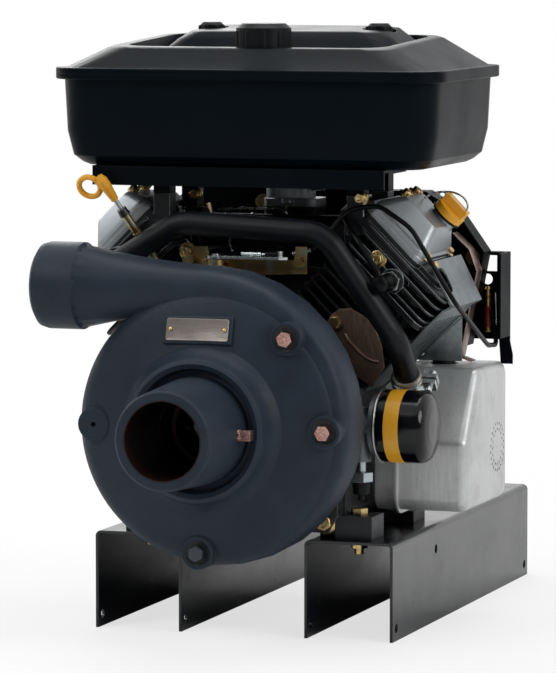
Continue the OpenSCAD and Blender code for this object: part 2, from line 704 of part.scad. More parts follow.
// Finned barrel on its crankcase deck
module barrel(side) bank(side) difference() {
  union() {
    translate([0, 0, deck_h - spigot_len]) cylinder(d = spigot_d, h = spigot_len + eps);
    translate([0, 0, deck_h]) linear_extrude(7) rounded_rect(bore + 32, bore + 32, fin_r);
    translate([0, 0, deck_h]) cylinder(d = bore + 18, h = head_z - deck_h);
    for (k = [0 : barrel_fins - 1]) translate([0, 0, deck_h + 11 + k * fin_pitch])
      linear_extrude(fin_t) rounded_rect(fin_w, fin_d, fin_r);
    for (sx = [-1, 1], sy = [-1, 1]) translate([sx * bore * 0.48, sy * bore * 0.48, deck_h])
      cylinder(d = 18, h = head_z - deck_h);
    if (side > 0) translate([baffle_u, 0, baffle_v]) y_rod(10, -fin_d / 2 - 2.5, -bore * 0.4);
  }
  translate([0, 0, deck_h - spigot_len - eps]) cylinder(d = bore, h = head_z);
}

module cylinder_left() color("#1c1e20") place() barrel(-1);

module cylinder_right() color("#1c1e20") place() barrel(1);

// Finned head: rocker seat towards the vee, exhaust port on one side and plug on the other
module head(side) bank(side) difference() {
  union() {
    translate([0, 0, head_z]) linear_extrude(6) rounded_rect(fin_w - 4, fin_d - 4, fin_r);
    translate([0, 0, head_z]) linear_extrude(head_h) rounded_rect(fin_w - 40, fin_d - 36, fin_r);
    for (k = [0 : head_fins - 1]) translate([0, 0, head_z + 10 + k * fin_pitch])
      linear_extrude(fin_t) rounded_rect(fin_w - 4, fin_d - 4, fin_r);
    translate([cover_u, 0, head_top - 16]) linear_extrude(16)
      rounded_rect(cover_w, cover_d, fin_r);
    translate([exhaust_u, 0, exhaust_v]) y_rod(pipe_d + 14, side > 0 ? 0 : -port_reach,
      side > 0 ? port_reach : 0);
    translate([plug_u, 0, plug_v]) y_rod(26, side > 0 ? -fin_d / 2 : 0, side > 0 ? 0 : fin_d / 2);
    rotate([0, -bank_angle, 0]) {
      translate([0, bank_mid_y - bank_y(side), intake_z])
        x_rod(intake_d + 12, intake_x - 14, intake_x + 13);
      for (sy = [-1, 1]) translate([pad_x, sy * pad_y, 0])
        box([-9, -9, intake_z], [9, 9, pad_z - axis_z]);
    }
  }
  translate([0, 0, head_z - eps]) cylinder(d = bore - 8, h = 5 + eps);
  translate([exhaust_u, 0, exhaust_v])
    y_rod(pipe_d - 2, side > 0 ? 20 : -port_reach - eps, side > 0 ? port_reach + eps : -20);
  translate([plug_u, 0, plug_v])
    y_rod(14 + 2 * slip_fit, side > 0 ? -fin_d : 10, side > 0 ? -10 : fin_d);
  rotate([0, -bank_angle, 0]) translate([0, bank_mid_y - bank_y(side), intake_z])
    x_rod(intake_d - 8, 0, intake_x + 30);
}

module head_left() color("#222426") place() head(-1);

module head_right() color("#222426") place() head(1);

// Cast valve cover: ridged flange and bevelled dome
dome_w = cover_w - 30;
dome_d = cover_d - 36;

module valve_cover(side) bank(side) translate([cover_u, 0, head_top]) {
  linear_extrude(flange_t - 5) rounded_rect(cover_w, cover_d, fin_r);
  linear_extrude(flange_t - 2) rounded_rect(cover_w - 5, cover_d - 5, fin_r - 2);
  linear_extrude(flange_t) rounded_rect(cover_w - 2, cover_d - 2, fin_r - 1);
  loft([rect_ring(4 - cover_w / 2, cover_w / 2 - 4, 4 - cover_d / 2, cover_d / 2 - 4, 10, flange_t - 1),
    rect_ring(5 - cover_w / 2, cover_w / 2 - 5, 5 - cover_d / 2, cover_d / 2 - 5, 10, flange_t + 4),
    rect_ring(2 - dome_w / 2, dome_w / 2 - 2, 2 - dome_d / 2, dome_d / 2 - 2, 7, cover_h - 2),
    rect_ring(4 - dome_w / 2, dome_w / 2 - 4, 4 - dome_d / 2, dome_d / 2 - 4, 6, cover_h)]);
}

// Oil filler on the right valve cover
filler_u = 13;
filler_back = 22;
neck_d = oil_cap_d - 10;
neck_h = 5;

module filler_line() bank(1)
  translate([cover_u + filler_u, filler_back, head_top + cover_h]) children();

module valve_cover_left() color("#a9adae") place() valve_cover(-1);

module valve_cover_right() color("#a9adae") place() difference() {
  union() {
    valve_cover(1);
    filler_line() translate([0, 0, -4]) cylinder(d = oil_cap_d - 6, h = 4 + neck_h);
  }
  filler_line() translate([0, 0, -14]) cylinder(d = neck_d, h = 30);
}

// Filler cap with a plug in the neck and a grip bar
module oil_cap() color("#d99a21") place() filler_line() {
  translate([0, 0, -8]) cylinder(d = neck_d - 2 * slip_fit, h = 10 + neck_h);
  translate([0, 0, neck_h + slip_fit]) cylinder(d = oil_cap_d, h = 8);
  translate([0, 0, neck_h + 8]) linear_extrude(10)
    intersection() {
      circle(d = oil_cap_d - 2);
      square([oil_cap_d, oil_cap_d * 0.36], center = true);
    }
}

// Spark plugs in the heads
module spark_plug(side) bank(side) translate([plug_u, 0, plug_v]) {
  seat = fin_d / 2;
  rotate([0, 0, side > 0 ? 180 : 0]) {
    y_rod(14, seat - 26, seat + 1);
    translate([0, seat, 0]) rotate([-90, 0, 0]) cylinder(d = 23, h = 9, $fn = 6);
    y_rod(16, seat + 8, seat + 13);
    y_rod(10, seat + 12, seat + 30);
    y_rod(6, seat + 29, seat + 37);
  }
}

module spark_plugs() color("#c9c6bd") place() for (side = [-1, 1]) spark_plug(side);

// Intake and controls

carb_y = (well_y[0] + well_y[1]) / 2;
carb_z = intake_z + 22;
carb_h = pad_z - axis_z + tray_h - 6 - carb_z;
duct_d = 52;

// Pipe between the two intake ports with a riser to the carburetor
module intake_manifold() color("#6e7274") place() on_shaft() difference() {
  union() {
    translate([0, bank_mid_y, intake_z]) {
      x_rod(intake_d, 14 - intake_x, intake_x - 14);
      for (side = [-1, 1]) translate([side * (intake_x - 18), 0, 0])
        x_rod(intake_d + 12, -4, 4);
    }
    translate([0, 0, intake_z]) y_rod(intake_d - 3, bank_mid_y, carb_y);
    translate([0, carb_y, intake_z - 22]) cylinder(d = intake_d + 4, h = 40);
    translate([0, carb_y, carb_z - 9]) linear_extrude(9) rounded_rect(58, 50, 10);
  }
  translate([0, carb_y, intake_z]) cylinder(d = intake_d - 8, h = 60);
  translate([0, bank_mid_y, intake_z]) x_rod(intake_d - 8, -intake_x, intake_x);
  for (side = [-1, 1]) translate([0, bank_y(side), 0]) rotate([0, side * bank_angle, 0])
    box([-fin_w / 2 - 1, -fin_d / 2 - 1, deck_h], [fin_w / 2 + 1, fin_d / 2 + 1, head_z + slip_fit]);
}

// Carburetor: flange, throat and float bowl
module carburetor() color("#9a9d9c") place() on_shaft() translate([0, carb_y, carb_z]) difference() {
  union() {
    linear_extrude(8) rounded_rect(58, 50, 10);
    cylinder(d = duct_d - 8, h = carb_h);
    translate([0, -26, 10]) cylinder(d = 44, h = carb_h - 20);
    translate([0, -26, 4]) cylinder(d = 12, h = 8);
    translate([0, 0, carb_h - 8]) linear_extrude(8) rounded_rect(duct_d + 4, duct_d + 4, 14);
    translate([0, 0, carb_h * 0.6]) x_rod(18, 0, choke_x);
  }
  translate([0, 0, -eps]) cylinder(d = intake_d - 8, h = carb_h + 2 * eps);
  translate([0, 0, carb_h * 0.6]) x_rod(choke_pin_d + 2 * running_fit, 0, choke_x + eps);
}

choke_x = 32;
choke_pin_d = 7;

// Choke lever on its shaft, at the carburetor's side
module choke_lever() color("#b8b6a4") place() on_shaft()
  translate([0, carb_y, carb_z + carb_h * 0.6]) {
    x_rod(choke_pin_d, 24, choke_x + slip_fit + 4);
    translate([choke_x + slip_fit, 0, 0]) {
      x_rod(16, 0, 3);
      box([0, 0, -4], [3, 30, 4]);
      translate([0, 30, 0]) x_rod(10, 0, 3);
      translate([0, 30, 0]) x_rod(5, 3 - eps, 12);
    }
  }

// Sheet bracket on the crankcase top that carries the speed lever
bracket_y = case_y0 + 8;
bracket_x = [-74, 62];
lever_x = -32;
lever_z = 162;
lever_pin_d = 8;

module control_bracket() color("#a8976a") place() on_shaft() difference() {
  union() {
    y_prism(bracket_y, bracket_y + 2 * sheet) polygon([[-14, (deck_h + deck_half) * half],
      [14, (deck_h + deck_half) * half], [16, lever_z - 18], [bracket_x[1], lever_z - 16],
      [bracket_x[1], lever_z + 12], [bracket_x[1] - 12, lever_z + 12], [bracket_x[1] - 14, lever_z - 2],
      [bracket_x[0] + 30, lever_z - 2], [bracket_x[0] + 28, lever_z + 10], [bracket_x[0], lever_z + 10],
      [bracket_x[0], lever_z - 16], [-16, lever_z - 18]]);
    box([lever_x - 14, bracket_y - 16, lever_z - 5], [lever_x + 14, bracket_y + eps, lever_z - 2]);
    translate([lever_x, bracket_y - 14, lever_z - 14]) cylinder(d = 18, h = 12 + slip_fit / 2);
    box([-14, bracket_y, (deck_h + deck_half) * half], [14, bracket_y + 18,
      (deck_h + deck_half) * half + sheet]);
    for (x = [bracket_x[0] + 10, bracket_x[1] - 8]) translate([x, 0, lever_z - 4])
      translate([0, bracket_y + eps, 0]) rotate([90, 0, 0]) cylinder(d = 12, h = 6, $fn = 6);
  }
  translate([lever_x, bracket_y - 14, lever_z - 20])
    cylinder(d = lever_pin_d + 2 * running_fit, h = 40);
}

// Speed lever on an upright pin
module throttle_lever() color("#d4d6d5") place() on_shaft() translate([lever_x, bracket_y - 14, 0]) {
  translate([0, 0, lever_z - 12]) cylinder(d = lever_pin_d, h = 16);
  translate([0, 0, lever_z - 1]) {
    cylinder(d = 20, h = 3);
    linear_extrude(3) polygon([[0, -8], [70, -5], [78, 0], [70, 5], [0, 8]]);
    translate([70, 0, 0]) cylinder(d = 6, h = 9);
  }
}

// Tank and air cleaner

tray_x = tank_w / 2 - 45;
tray_y = [tank_y + 20, tank_y + tank_d - 15];
rim_x = tank_w / 2;
rim_y = [tank_y, tank_y + tank_d];
neck_od = 52;
ridge_slope = 0.045;

// Sheet tray that carries the tank on the heads' pads
module tank_support() color("#16181a") place() difference() {
  union() {
    box([-tray_x, tray_y[0], tank_z - 3], [tray_x - 16, tray_y[1], tank_z]);
    box([-tray_x, tray_y[0], tank_z - 20], [tray_x - 16, tray_y[0] + 3, tank_z - 1]);
    for (side = [-1, 1]) {
      box([side * pad_x - 1.5, tray_y[0], tank_z - 14], [side * pad_x + 1.5, tray_y[1], tank_z - 1]);
      for (sy = [-1, 1]) translate([side * pad_x, bank_y(side) + sy * pad_y, pad_z])
        box([-9, -9, 0], [9, 9, tray_h - 1]);
    }
  }
  translate([0, carb_y, pad_z]) cylinder(d = duct_d + 14, h = tray_h + eps);
}

// Ring of the tank's lower shell, drawn in from the rim
function shell_ring(inset, z) = rect_ring(inset - rim_x, rim_x - inset, rim_y[0] + inset,
  rim_y[1] - inset, 40 - inset / 2, z);

// Ring of the upper shell with its own inset on each side
function top_ring(left, right, front, back, z, slope = 0) = rect_ring(left - rim_x, rim_x - right,
  rim_y[0] + front, rim_y[1] - back, 30, z, slope);

// Upright block of the well that holds the air cleaner
module well(grow, z0, z1) translate([0, (well_y[0] + well_y[1]) / 2, z0]) linear_extrude(z1 - z0)
  rounded_rect(2 * well_x + 2 * grow, well_y[1] - well_y[0] + 2 * grow, 18 + grow);

// Arched hand recess under a front corner of the tank
module corner_arch(side, grow) translate([side * (rim_x - 16), rim_y[0] + 14, tank_z + 8])
  rotate([0, 0, -45 * side]) rotate([-90, 0, 0]) translate([0, 0, -40]) {
    cylinder(d = 24 + 2 * grow, h = 56 + grow);
    translate([-12 - grow, 0, 0]) cube([24 + 2 * grow, 30, 56 + grow]);
  }

// Lower shell
module fuel_tank_lower() color("#101113") place() difference() {
  union() {
    loft([shell_ring(30, tank_z), shell_ring(24, tank_z + 3), shell_ring(16, tank_z + 10),
      shell_ring(10.5, tank_z + 35), shell_ring(8, rim_z - rim_t), shell_ring(8, rim_z)]);
    loft([shell_ring(1, rim_z - rim_t), shell_ring(0, rim_z - rim_t + 1), shell_ring(0, rim_z)]);
  }
  difference() {
    loft([shell_ring(30 + tank_wall, tank_z + tank_wall), shell_ring(16 + tank_wall, tank_z + 12),
      shell_ring(10.5 + tank_wall, tank_z + 35), shell_ring(8 + tank_wall, rim_z + eps)]);
    well(tank_wall, tank_z, rim_z + 1);
    for (side = [-1, 1]) corner_arch(side, tank_wall);
  }
  well(0, tank_z - eps, rim_z + eps);
  for (side = [-1, 1]) corner_arch(side, 0);
}

// Upper shell: sloped flanks up to a ridge, a recess inside it and the filler neck
module fuel_tank_upper() color("#141517") place() difference() {
  union() {
    loft([shell_ring(0, rim_z), shell_ring(0, rim_z + rim_t - 1), shell_ring(1, rim_z + rim_t)]);
    difference() {
      loft([top_ring(9, 9, 9, 9, rim_z + rim_t - 1), top_ring(46, 60, 40, 10, top_z - 2, ridge_slope),
        top_ring(51, 65, 45, 13, top_z, ridge_slope)]);
      loft([top_ring(66, 80, 60, 19, recess_z), top_ring(60, 74, 54, 17, top_z + 12)]);
      translate([0, filler_y, recess_z + 1]) cylinder(d = fuel_cap_d + 4, h = 40);
    }
    translate([0, filler_y, recess_z - 1]) cylinder(d = neck_od, h = 19);
  }
  difference() {
    loft([top_ring(9 + tank_wall, 9 + tank_wall, 9 + tank_wall, 9 + tank_wall, rim_z - eps),
      top_ring(66, 80, 60, 20, recess_z - tank_wall)]);
    well(tank_wall, rim_z - 1, top_z);
  }
  well(0, rim_z - eps, top_z + 10);
  translate([0, filler_y, rim_z]) cylinder(d = neck_od - 10, h = tank_top_h + 20);
}

// Filler cap with grip ribs
module fuel_cap() color("#1a1b1d") place() translate([0, filler_y, recess_z + 6]) difference() {
  union() {
    cylinder(d = fuel_cap_d - 3, h = 24);
    translate([0, 0, 24 - eps]) cylinder(d1 = fuel_cap_d - 3, d2 = fuel_cap_d - 15, h = 5);
    for (k = [0 : 9]) rotate(36 * k) translate([fuel_cap_d / 2 - 3, 0, 1]) cylinder(d = 6, h = 20);
  }
  translate([0, 0, -eps]) cylinder(d = neck_od + 2 * running_fit, h = 12 + slip_fit + eps);
}

pan_z = rim_z - 17;
stud_x = well_x - 23;
stud_d = 8;
pocket_z = recess_z + 14;
dome_z = recess_z + 3;

// Air cleaner pan in the tank's well, with its duct to the carburetor and the two studs
module air_cleaner_base() color("#1d1e20") place() difference() {
  union() {
    well(-slip_fit - 4, pan_z, recess_z + 1);
    well(3, recess_z, dome_z);
    translate([0, carb_y, axis_z + carb_z + carb_h]) cylinder(d = duct_d + 8, h = tank_h);
  }
  difference() {
    well(-slip_fit - 7, pan_z + 3, dome_z + eps);
    for (side = [-1, 1]) translate([side * stud_x, carb_y, pan_z]) cylinder(d = 16, h = 12);
  }
  translate([0, carb_y, tank_z - 20]) cylinder(d = duct_d, h = tank_h + 20);
  for (side = [-1, 1]) translate([side * stud_x, carb_y, pan_z + 3])
    cylinder(d = stud_d + 2 * running_fit, h = 20);
}

// Oval filter element
module air_filter() color("#b9ab86") place() translate([0, carb_y, pan_z + 3]) difference() {
  linear_extrude(recess_z - pan_z - 5) rounded_rect(2 * well_x - 68, 92, 44);
  translate([0, 0, -eps]) linear_extrude(40) rounded_rect(2 * well_x - 106, 56, 27);
}

// Domed cover with a pocket for each knob
function dome_ring(inset, end, z, slope = 0) = rect_ring(inset + end - well_x - 14, well_x + 14 - inset - end,
  well_y[0] + inset, well_y[1] - inset, 26 - inset / 3, z, slope);

module air_cleaner_cover() color("#18191b") place() difference() {
  union() {
    difference() {
      loft([dome_ring(0, 0, dome_z), dome_ring(0, 0, dome_z + 4), dome_ring(8, 2, dome_z + dome_h * 0.5, 0.02),
        dome_ring(15, 7, dome_z + dome_h - 5, 0.06), dome_ring(22, 12, dome_z + dome_h - 3, 0.06)]);
      loft([dome_ring(9, 4, dome_z - eps), dome_ring(11, 5, dome_z + 6),
        dome_ring(26, 12, dome_z + dome_h - 8)]);
    }
    for (side = [-1, 1]) translate([side * stud_x, carb_y, pocket_z - 4]) cylinder(d = 40, h = 12);
  }
  for (side = [-1, 1]) translate([side * stud_x, carb_y, 0]) {
    translate([0, 0, pocket_z]) cylinder(d = 36, h = 60);
    translate([0, 0, pocket_z - 10]) cylinder(d = stud_d + 2 * slip_fit, h = 20);
  }
}

// Knob on its screw, which turns in the pan's stud bore
module knob(side) translate([side * stud_x, carb_y, pocket_z + slip_fit]) {
  cylinder(d = 25, h = 16);
  translate([0, 0, 16 - eps]) cylinder(d1 = 25, d2 = 19, h = 3);
  for (k = [0 : 6]) rotate(k * 360 / 7) translate([11.8, 0, 1]) cylinder(d = 5.5, h = 14);
  translate([0, 0, pan_z + 6 - pocket_z]) cylinder(d = stud_d, h = pocket_z - pan_z - 5);
}

module knob_left() color("#1f2022") place() knob(-1);

module knob_right() color("#1f2022") place() knob(1);

// Exhaust

muffler_x0 = side_x + 10;
muffler_x1 = muffler_x0 + muffler_w;
muffler_y0 = case_y0 + 80;
muffler_y1 = muffler_y0 + muffler_d;
muffler_z0 = rail_h + 21;
muffler_z1 = muffler_z0 + muffler_h;
seam_x = muffler_x0 + 26;
inlet_a = [157, case_y0 + 43.5, axis_z + 47.5];
inlet_b = [155, case_y0 + 97.5, axis_z - 6.5];
inlet_way = unit(inlet_b - inlet_a);
port_out = (exhaust_v + exhaust_u) * half;
port_up = axis_z + (exhaust_v - exhaust_u) * half;

// Corners of the muffler's side view, drawn in by a radius
function muffler_corners(r) = [[muffler_y0 + r, muffler_z0 + r], [muffler_y0 + r, muffler_z0 + 69],
  [muffler_y0 + 58, muffler_z1 - r], [muffler_y1 - r, muffler_z1 - r], [muffler_y1 - r, muffler_z0 + r]];

// Frame along the inlet's line, away from the muffler
module inlet_line() translate(inlet_a) multmatrix(frame_of(inlet_way)) children();

// Matrix that turns Z to a direction
function frame_of(t) = let (n = squared([1, 0, 0], t), b = cross(t, n))
  [[n[0], b[0], t[0], 0], [n[1], b[1], t[1], 0], [n[2], b[2], t[2], 0], [0, 0, 0, 1]];

// Body of the muffler with a rounded outer end, drawn in by a wall
module muffler_body(wall) hull() for (c = muffler_corners(14)) translate([0, c[0], c[1]])
  x_turned([[0, muffler_x0 + wall], [10 - wall, muffler_x0 + wall], [14 - wall, muffler_x0 + 4],
    [14 - wall, muffler_x1 - 10], [13 - wall, muffler_x1 - 5.5], [10 - wall, muffler_x1 - 2 - wall],
    [5, muffler_x1 - wall], [0, muffler_x1 - wall]], $fn = 32);

// Space that the cylinder's fins and their shroud leave free
module above_fins(gap) bank(1) box([-300, -200, -100], [fin_w / 2 + sheet + gap, 200, 400]);

module muffler() color("#b4b3ad") place() difference() {
  union() {
    difference() {
      muffler_body(0);
      above_fins(1.5);
    }
    difference() {
      hull() for (c = muffler_corners(14)) translate([0, c[0], c[1]]) x_rod(36, seam_x, seam_x + 3, $fn = 32);
      above_fins(1.5);
    }
    inlet_line() translate([0, 0, 8]) cylinder(d = pipe_d + 6, h = 100);
  }
  difference() {
    muffler_body(sheet);
    above_fins(1.5 + sheet);
  }
  inlet_line() translate([0, 0, 8 - eps]) cylinder(d = pipe_d + 2 * slip_fit, h = 110);
  for (ring = [[18.5, 16], [25, 22]], k = [1 : ring[1]]) translate([0, muffler_y1 - 39, muffler_z0 + 57])
    rotate([k * 360 / ring[1], 0, 0]) translate([0, 0, ring[0]])
      x_rod(3.4, muffler_x1 - 3 * sheet, muffler_x1 + eps, $fn = 16);
  translate([port_out + 12, stub_y, muffler_z1 - 20]) cylinder(d = pipe_d + 6, h = 30);
}

// Pipe from the left head across the front to the muffler's inlet
cross_y = case_y0 - 11;
cross_z = port_up + 45;
cross_path = smooth_path([[-port_out, bank_y(-1) - port_reach, port_up], [-port_out, cross_y, port_up],
  [75 - port_out, cross_y, cross_z + 3], [86, cross_y, cross_z - 4], inlet_a - 45 * inlet_way,
  inlet_a + 40 * inlet_way], [14, 40, 40, 40]);

module crossover_pipe() color("#8d877c") place() {
  swept_rod(cross_path, pipe_d, 24);
  translate([-port_out, bank_y(-1) - port_reach, port_up]) y_rod(pipe_d + 10, -5, 0);
}

// Pipe from the right head's rear port down into the muffler
stub_y = bank_y(1) + port_reach + 15;

module exhaust_stub() color("#8d877c") place() {
  swept_rod(smooth_path([[port_out, stub_y - 15, port_up], [port_out, stub_y, port_up],
    [port_out + 12, stub_y, muffler_z1 + 6], [port_out + 12, stub_y, muffler_z1 - 12]], [13, 40]), pipe_d, 16);
  translate([port_out, stub_y - 15, port_up]) y_rod(pipe_d + 10, 0, 5);
}

// Band clamp on the muffler's inlet
clamp_d = pipe_d + 6 + 2 * slip_fit;

module pipe_clamp() color("#6f6e69") place() inlet_line() translate([0, 0, 12]) difference() {
  union() {
    cylinder(d = clamp_d + 5, h = 13);
    translate([clamp_d / 2 - 1, -6, 0]) cube([16, 12, 13]);
    translate([clamp_d / 2 + 8, -13, 6.5]) y_rod(7, 0, 26);
  }
  translate([0, 0, -eps]) cylinder(d = clamp_d, h = 20);
  translate([0, -1.2, -eps]) cube([clamp_d, 2.4, 20]);
}

// Lubrication

module oil_filter() color("#131416") place() on_shaft() translate([0, filter_y, filter_z])
  translate([filter_x, 0, 0]) x_turned([[0, 0], [filter_d / 2 - 4, 0], [filter_d / 2 - 1, 3],
    [filter_d / 2, 7], [filter_d / 2, filter_len - 13], [filter_d / 2 - 1, filter_len - 9],
    [filter_d / 2 - 4, filter_len - 5], [filter_d / 2 - 9, filter_len - 2.5],
    [filter_d / 2 - 18, filter_len - 0.8], [0, filter_len]]);

switch_x = filter_pad + 17;

// Cast adapter between crankcase and filter, with an upright boss for the pressure switch
module filter_adapter() color("#8b8f91") place() on_shaft() translate([0, filter_y, filter_z]) difference() {
  union() {
    x_rod(44, filter_pad, filter_pad + 5);
    x_rod(30, filter_pad, filter_x - 2);
    x_rod(filter_d - 10, filter_x - 5, filter_x);
    translate([switch_x, -6, -37]) cylinder(d = 21, h = 57);
    translate([switch_x, 0, 0]) y_rod(9, -19, 0);
  }
  x_rod(16, filter_pad - eps, filter_x + eps);
  translate([switch_x, -6, -37 - eps]) cylinder(d = 10 + 2 * slip_fit, h = 18);
}

// Oil pressure switch: thread, hexagon, body and terminal
module oil_switch() color("#2a2b2d") place() on_shaft() translate([switch_x, filter_y - 6, filter_z - 37]) {
  translate([0, 0, -12]) cylinder(d = 10, h = 28);
  translate([0, 0, -21]) cylinder(d = 25, h = 10, $fn = 6);
  translate([0, 0, -34]) cylinder(d1 = 16, d2 = 19, h = 14);
  translate([0, 0, -40]) cylinder(d = 7, h = 8);
}

// Frame along the dipstick, its origin at the tube's bend
module stick_line() translate(stick_bend) multmatrix(frame_of(stick_way)) children();

// Tube from the crankcase's deck up behind the exhaust pipe, bent forward at the top
module dipstick_tube() color("#a7a08c") place() on_shaft() difference() {
  union() {
    swept_rod(smooth_path([stick_base - stick_seat * tube_way, stick_bend, stick_bend + 8 * stick_way],
      [16]), stick_tube_d + 1.2, 12);
    stick_line() translate([0, 0, 4]) cylinder(d = stick_tube_d, h = stick_top - 4);
  }
  stick_line() translate([0, 0, 10]) cylinder(d = stick_d + 2 * running_fit, h = stick_top);
}

// Dipstick: blade, stopper on the tube, grip and pull ring
module dipstick() color("#dfae1d") place() on_shaft() stick_line() {
  translate([0, 0, 12]) cylinder(d = stick_d, h = stick_top + 12);
  translate([0, 0, stick_top + slip_fit]) cylinder(d1 = 12, d2 = 10, h = 8);
  translate([0, 0, stick_top + 20]) cylinder(d1 = 8, d2 = 12, h = stick_grip - 28);
  translate([0, 0, stick_top + stick_grip - 8 - eps]) cylinder(d = 12, h = 8);
  translate([0, 0, stick_top + stick_grip - 1]) cylinder(d1 = 12, d2 = 7, h = 6);
  translate([-17, 0, stick_top + stick_grip - 2]) rotate([90, 0, 0]) rotate_extrude()
    translate([11.5, 0]) circle(d = 6, $fn = 20);
}

// Cooling

module flywheel() color("#8a8d8f") place() on_shaft() difference() {
  union() {
    y_rod(flywheel_d, wheel_y, wheel_y + 16);
    y_rod(60, wheel_y - 6, wheel_y + wheel_hub);
    for (k = [0 : blade_count - 1]) rotate([0, 360 * k / blade_count, 0])
      box([flywheel_d * 0.28, wheel_y + 16 - eps, -1.5], [flywheel_d * 0.48, screen_y, 1.5]);
  }
  y_rod(shaft_d + 2 * running_fit, wheel_y - 10, screen_y);
}

// Rotating screen that keeps debris out of the fan
screen_d = flywheel_d + 2;

module debris_screen() color("#17181a") place() on_shaft() {
  for (k = [1 : 6]) y_ring(screen_d * (0.22 + 0.13 * k), screen_d * (0.22 + 0.13 * k) - 5,
    screen_y, screen_y + 6);
  for (k = [0 : 7]) rotate([0, 45 * k, 0])
    box([screen_d * 0.155, screen_y, -2], [screen_d * 0.49, screen_y + 5, 2]);
}

// Outline of the housing over both cylinders, drawn in by a wall
drum_r = flywheel_d / 2 + 9;
wide_y = housing_y0 + 26;
function housing_points(d) = [[130 - d, 221 - d], [165 - d, 200 - d], [195 - d, 158], [176 - d, 58 + d],
  [drum_r - d, 58 + d], [drum_r - d, 0]];

module housing_outline(d) {
  circle(r = drum_r - d);
  polygon(concat(housing_points(d),
    [for (k = [5 : -1 : 0]) [-housing_points(d)[k][0], housing_points(d)[k][1]]]));
}

module blower_housing() color("#1a1c1e") place() on_shaft() difference() {
  union() {
    y_prism(housing_y0, wide_y) housing_outline(0);
    y_rod(2 * drum_r, wide_y - eps, housing_y1);
  }
  y_prism(housing_y0 - eps, wide_y - sheet) housing_outline(sheet);
  y_rod(2 * drum_r - 2 * sheet, wide_y - 10, housing_y1 - sheet);
  y_rod(screen_d + 5, wide_y, housing_y1 + eps);
}

// Sheet round the outer side of the right cylinder, louvred below and open above
shroud_y = [-fin_d / 2 + 14, fin_d / 2 - 2];
shroud_top = fin_top + 15.6;

module cylinder_shroud() color("#7d8082") place() bank(1) difference() {
  union() {
    box([fin_w / 2, -fin_d / 2 + 11, deck_h + 9], [fin_w / 2 + sheet, shroud_y[1], head_z + 34]);
    y_prism(shroud_y[0], shroud_y[1]) polygon([[fin_w / 2, head_z + 32], [fin_w / 2 + sheet, head_z + 32],
      [fin_w / 2 + 5, fin_top - 2.4], [fin_w / 2 + 5, fin_top + 0.1], [17, shroud_top + 1],
      [16, shroud_top - 1], [fin_w / 2 + 2.5, fin_top - 1.4]]);
  }
  for (k = [0 : 5]) translate([fin_w / 2, -40 + 15 * k, 0])
    box([-eps, -3, deck_h + 60], [sheet + eps, 3, head_z + 18]);
  translate([38, -30, fin_top - 2.4]) linear_extrude(24) rounded_rect(26, 24, 8);
}

// Sheet ahead of the right cylinder, bolted to its boss
baffle_y = bank_y(1) - fin_d / 2 - 2.5;

module heat_baffle() color("#6b5a4a") place() on_shaft() {
  y_prism(baffle_y - sheet, baffle_y) polygon([[75, 88], [76, 95], [81, 103], [90, 109],
    [102, 110], [115, 103], [127, 92.5], [136, 70], [138, 50], [125, 29], [101, 44.5]]);
  translate([(baffle_v + baffle_u) * half, baffle_y - sheet + eps, (baffle_v - baffle_u) * half])
    rotate([90, 0, 0]) cylinder(d = 13, h = 6, $fn = 6);
}

// Bracket for the controls, behind the housing
panel_x = [163, 213];
panel_y = wide_y + 11;
panel_z = [axis_z + 36.5, axis_z + 156.5];

module switch_bracket() color("#1c1e20") place() difference() {
  union() {
    y_prism(panel_y, panel_y + sheet) polygon([[panel_x[0], panel_z[0] + 26], [panel_x[0], panel_z[1]],
      [panel_x[1], panel_z[1]], [panel_x[1], panel_z[0] + 24], [panel_x[1] + 3, panel_z[0] + 10],
      [panel_x[1] + 3, panel_z[0]], [panel_x[1] - 10, panel_z[0]], [panel_x[1] - 12, panel_z[0] + 26]]);
    box([panel_x[1] - sheet, panel_y - 36, panel_z[0] + 30], [panel_x[1], panel_y + sheet, panel_z[1]]);
    box([panel_x[0], wide_y, panel_z[1] - sheet], [panel_x[1], panel_y + sheet, panel_z[1]]);
    box([panel_x[0], wide_y, panel_z[0] + 40], [panel_x[0] + sheet, panel_y + eps, panel_z[1] - 24]);
    box([panel_x[0], wide_y, panel_z[0] + 40], [panel_x[0] + 14, wide_y + sheet, panel_z[1] - 24]);
  }
  translate([190, 0, panel_z[1] - 13]) box([-8.5, panel_y - eps, -8.5], [8.5, panel_y + sheet + eps, 8.5]);
  translate([188, 0, panel_z[1] - 30]) y_rod(11.6, panel_y - eps, panel_y + sheet + eps);
}

// Control cable from the front bracket round the right head to the rear panel
cable_d = 5;
cable_path = smooth_path([[46, bracket_y + 2 * sheet + cable_d / 2, axis_z + lever_z + 4],
  [68, bracket_y + 2 * sheet + cable_d / 2, axis_z + lever_z + 9], [100, case_y0 + 29, axis_z + 213],
  [132, case_y0 + 33, axis_z + 216], [166, case_y0 + 33, axis_z + 194], [209, case_y0 + 45, axis_z + 118],
  [204, stub_y + 6, axis_z + 61.5], [204, panel_y - 18, axis_z + 58],
  [192, panel_y - cable_d / 2, axis_z + 100], [190, panel_y - cable_d / 2, axis_z + 118]],
  [20, 30, 22, 40, 24, 60, 14, 24]);

module throttle_cable() color("#202123") place() swept_rod(cable_path, cable_d, 8);

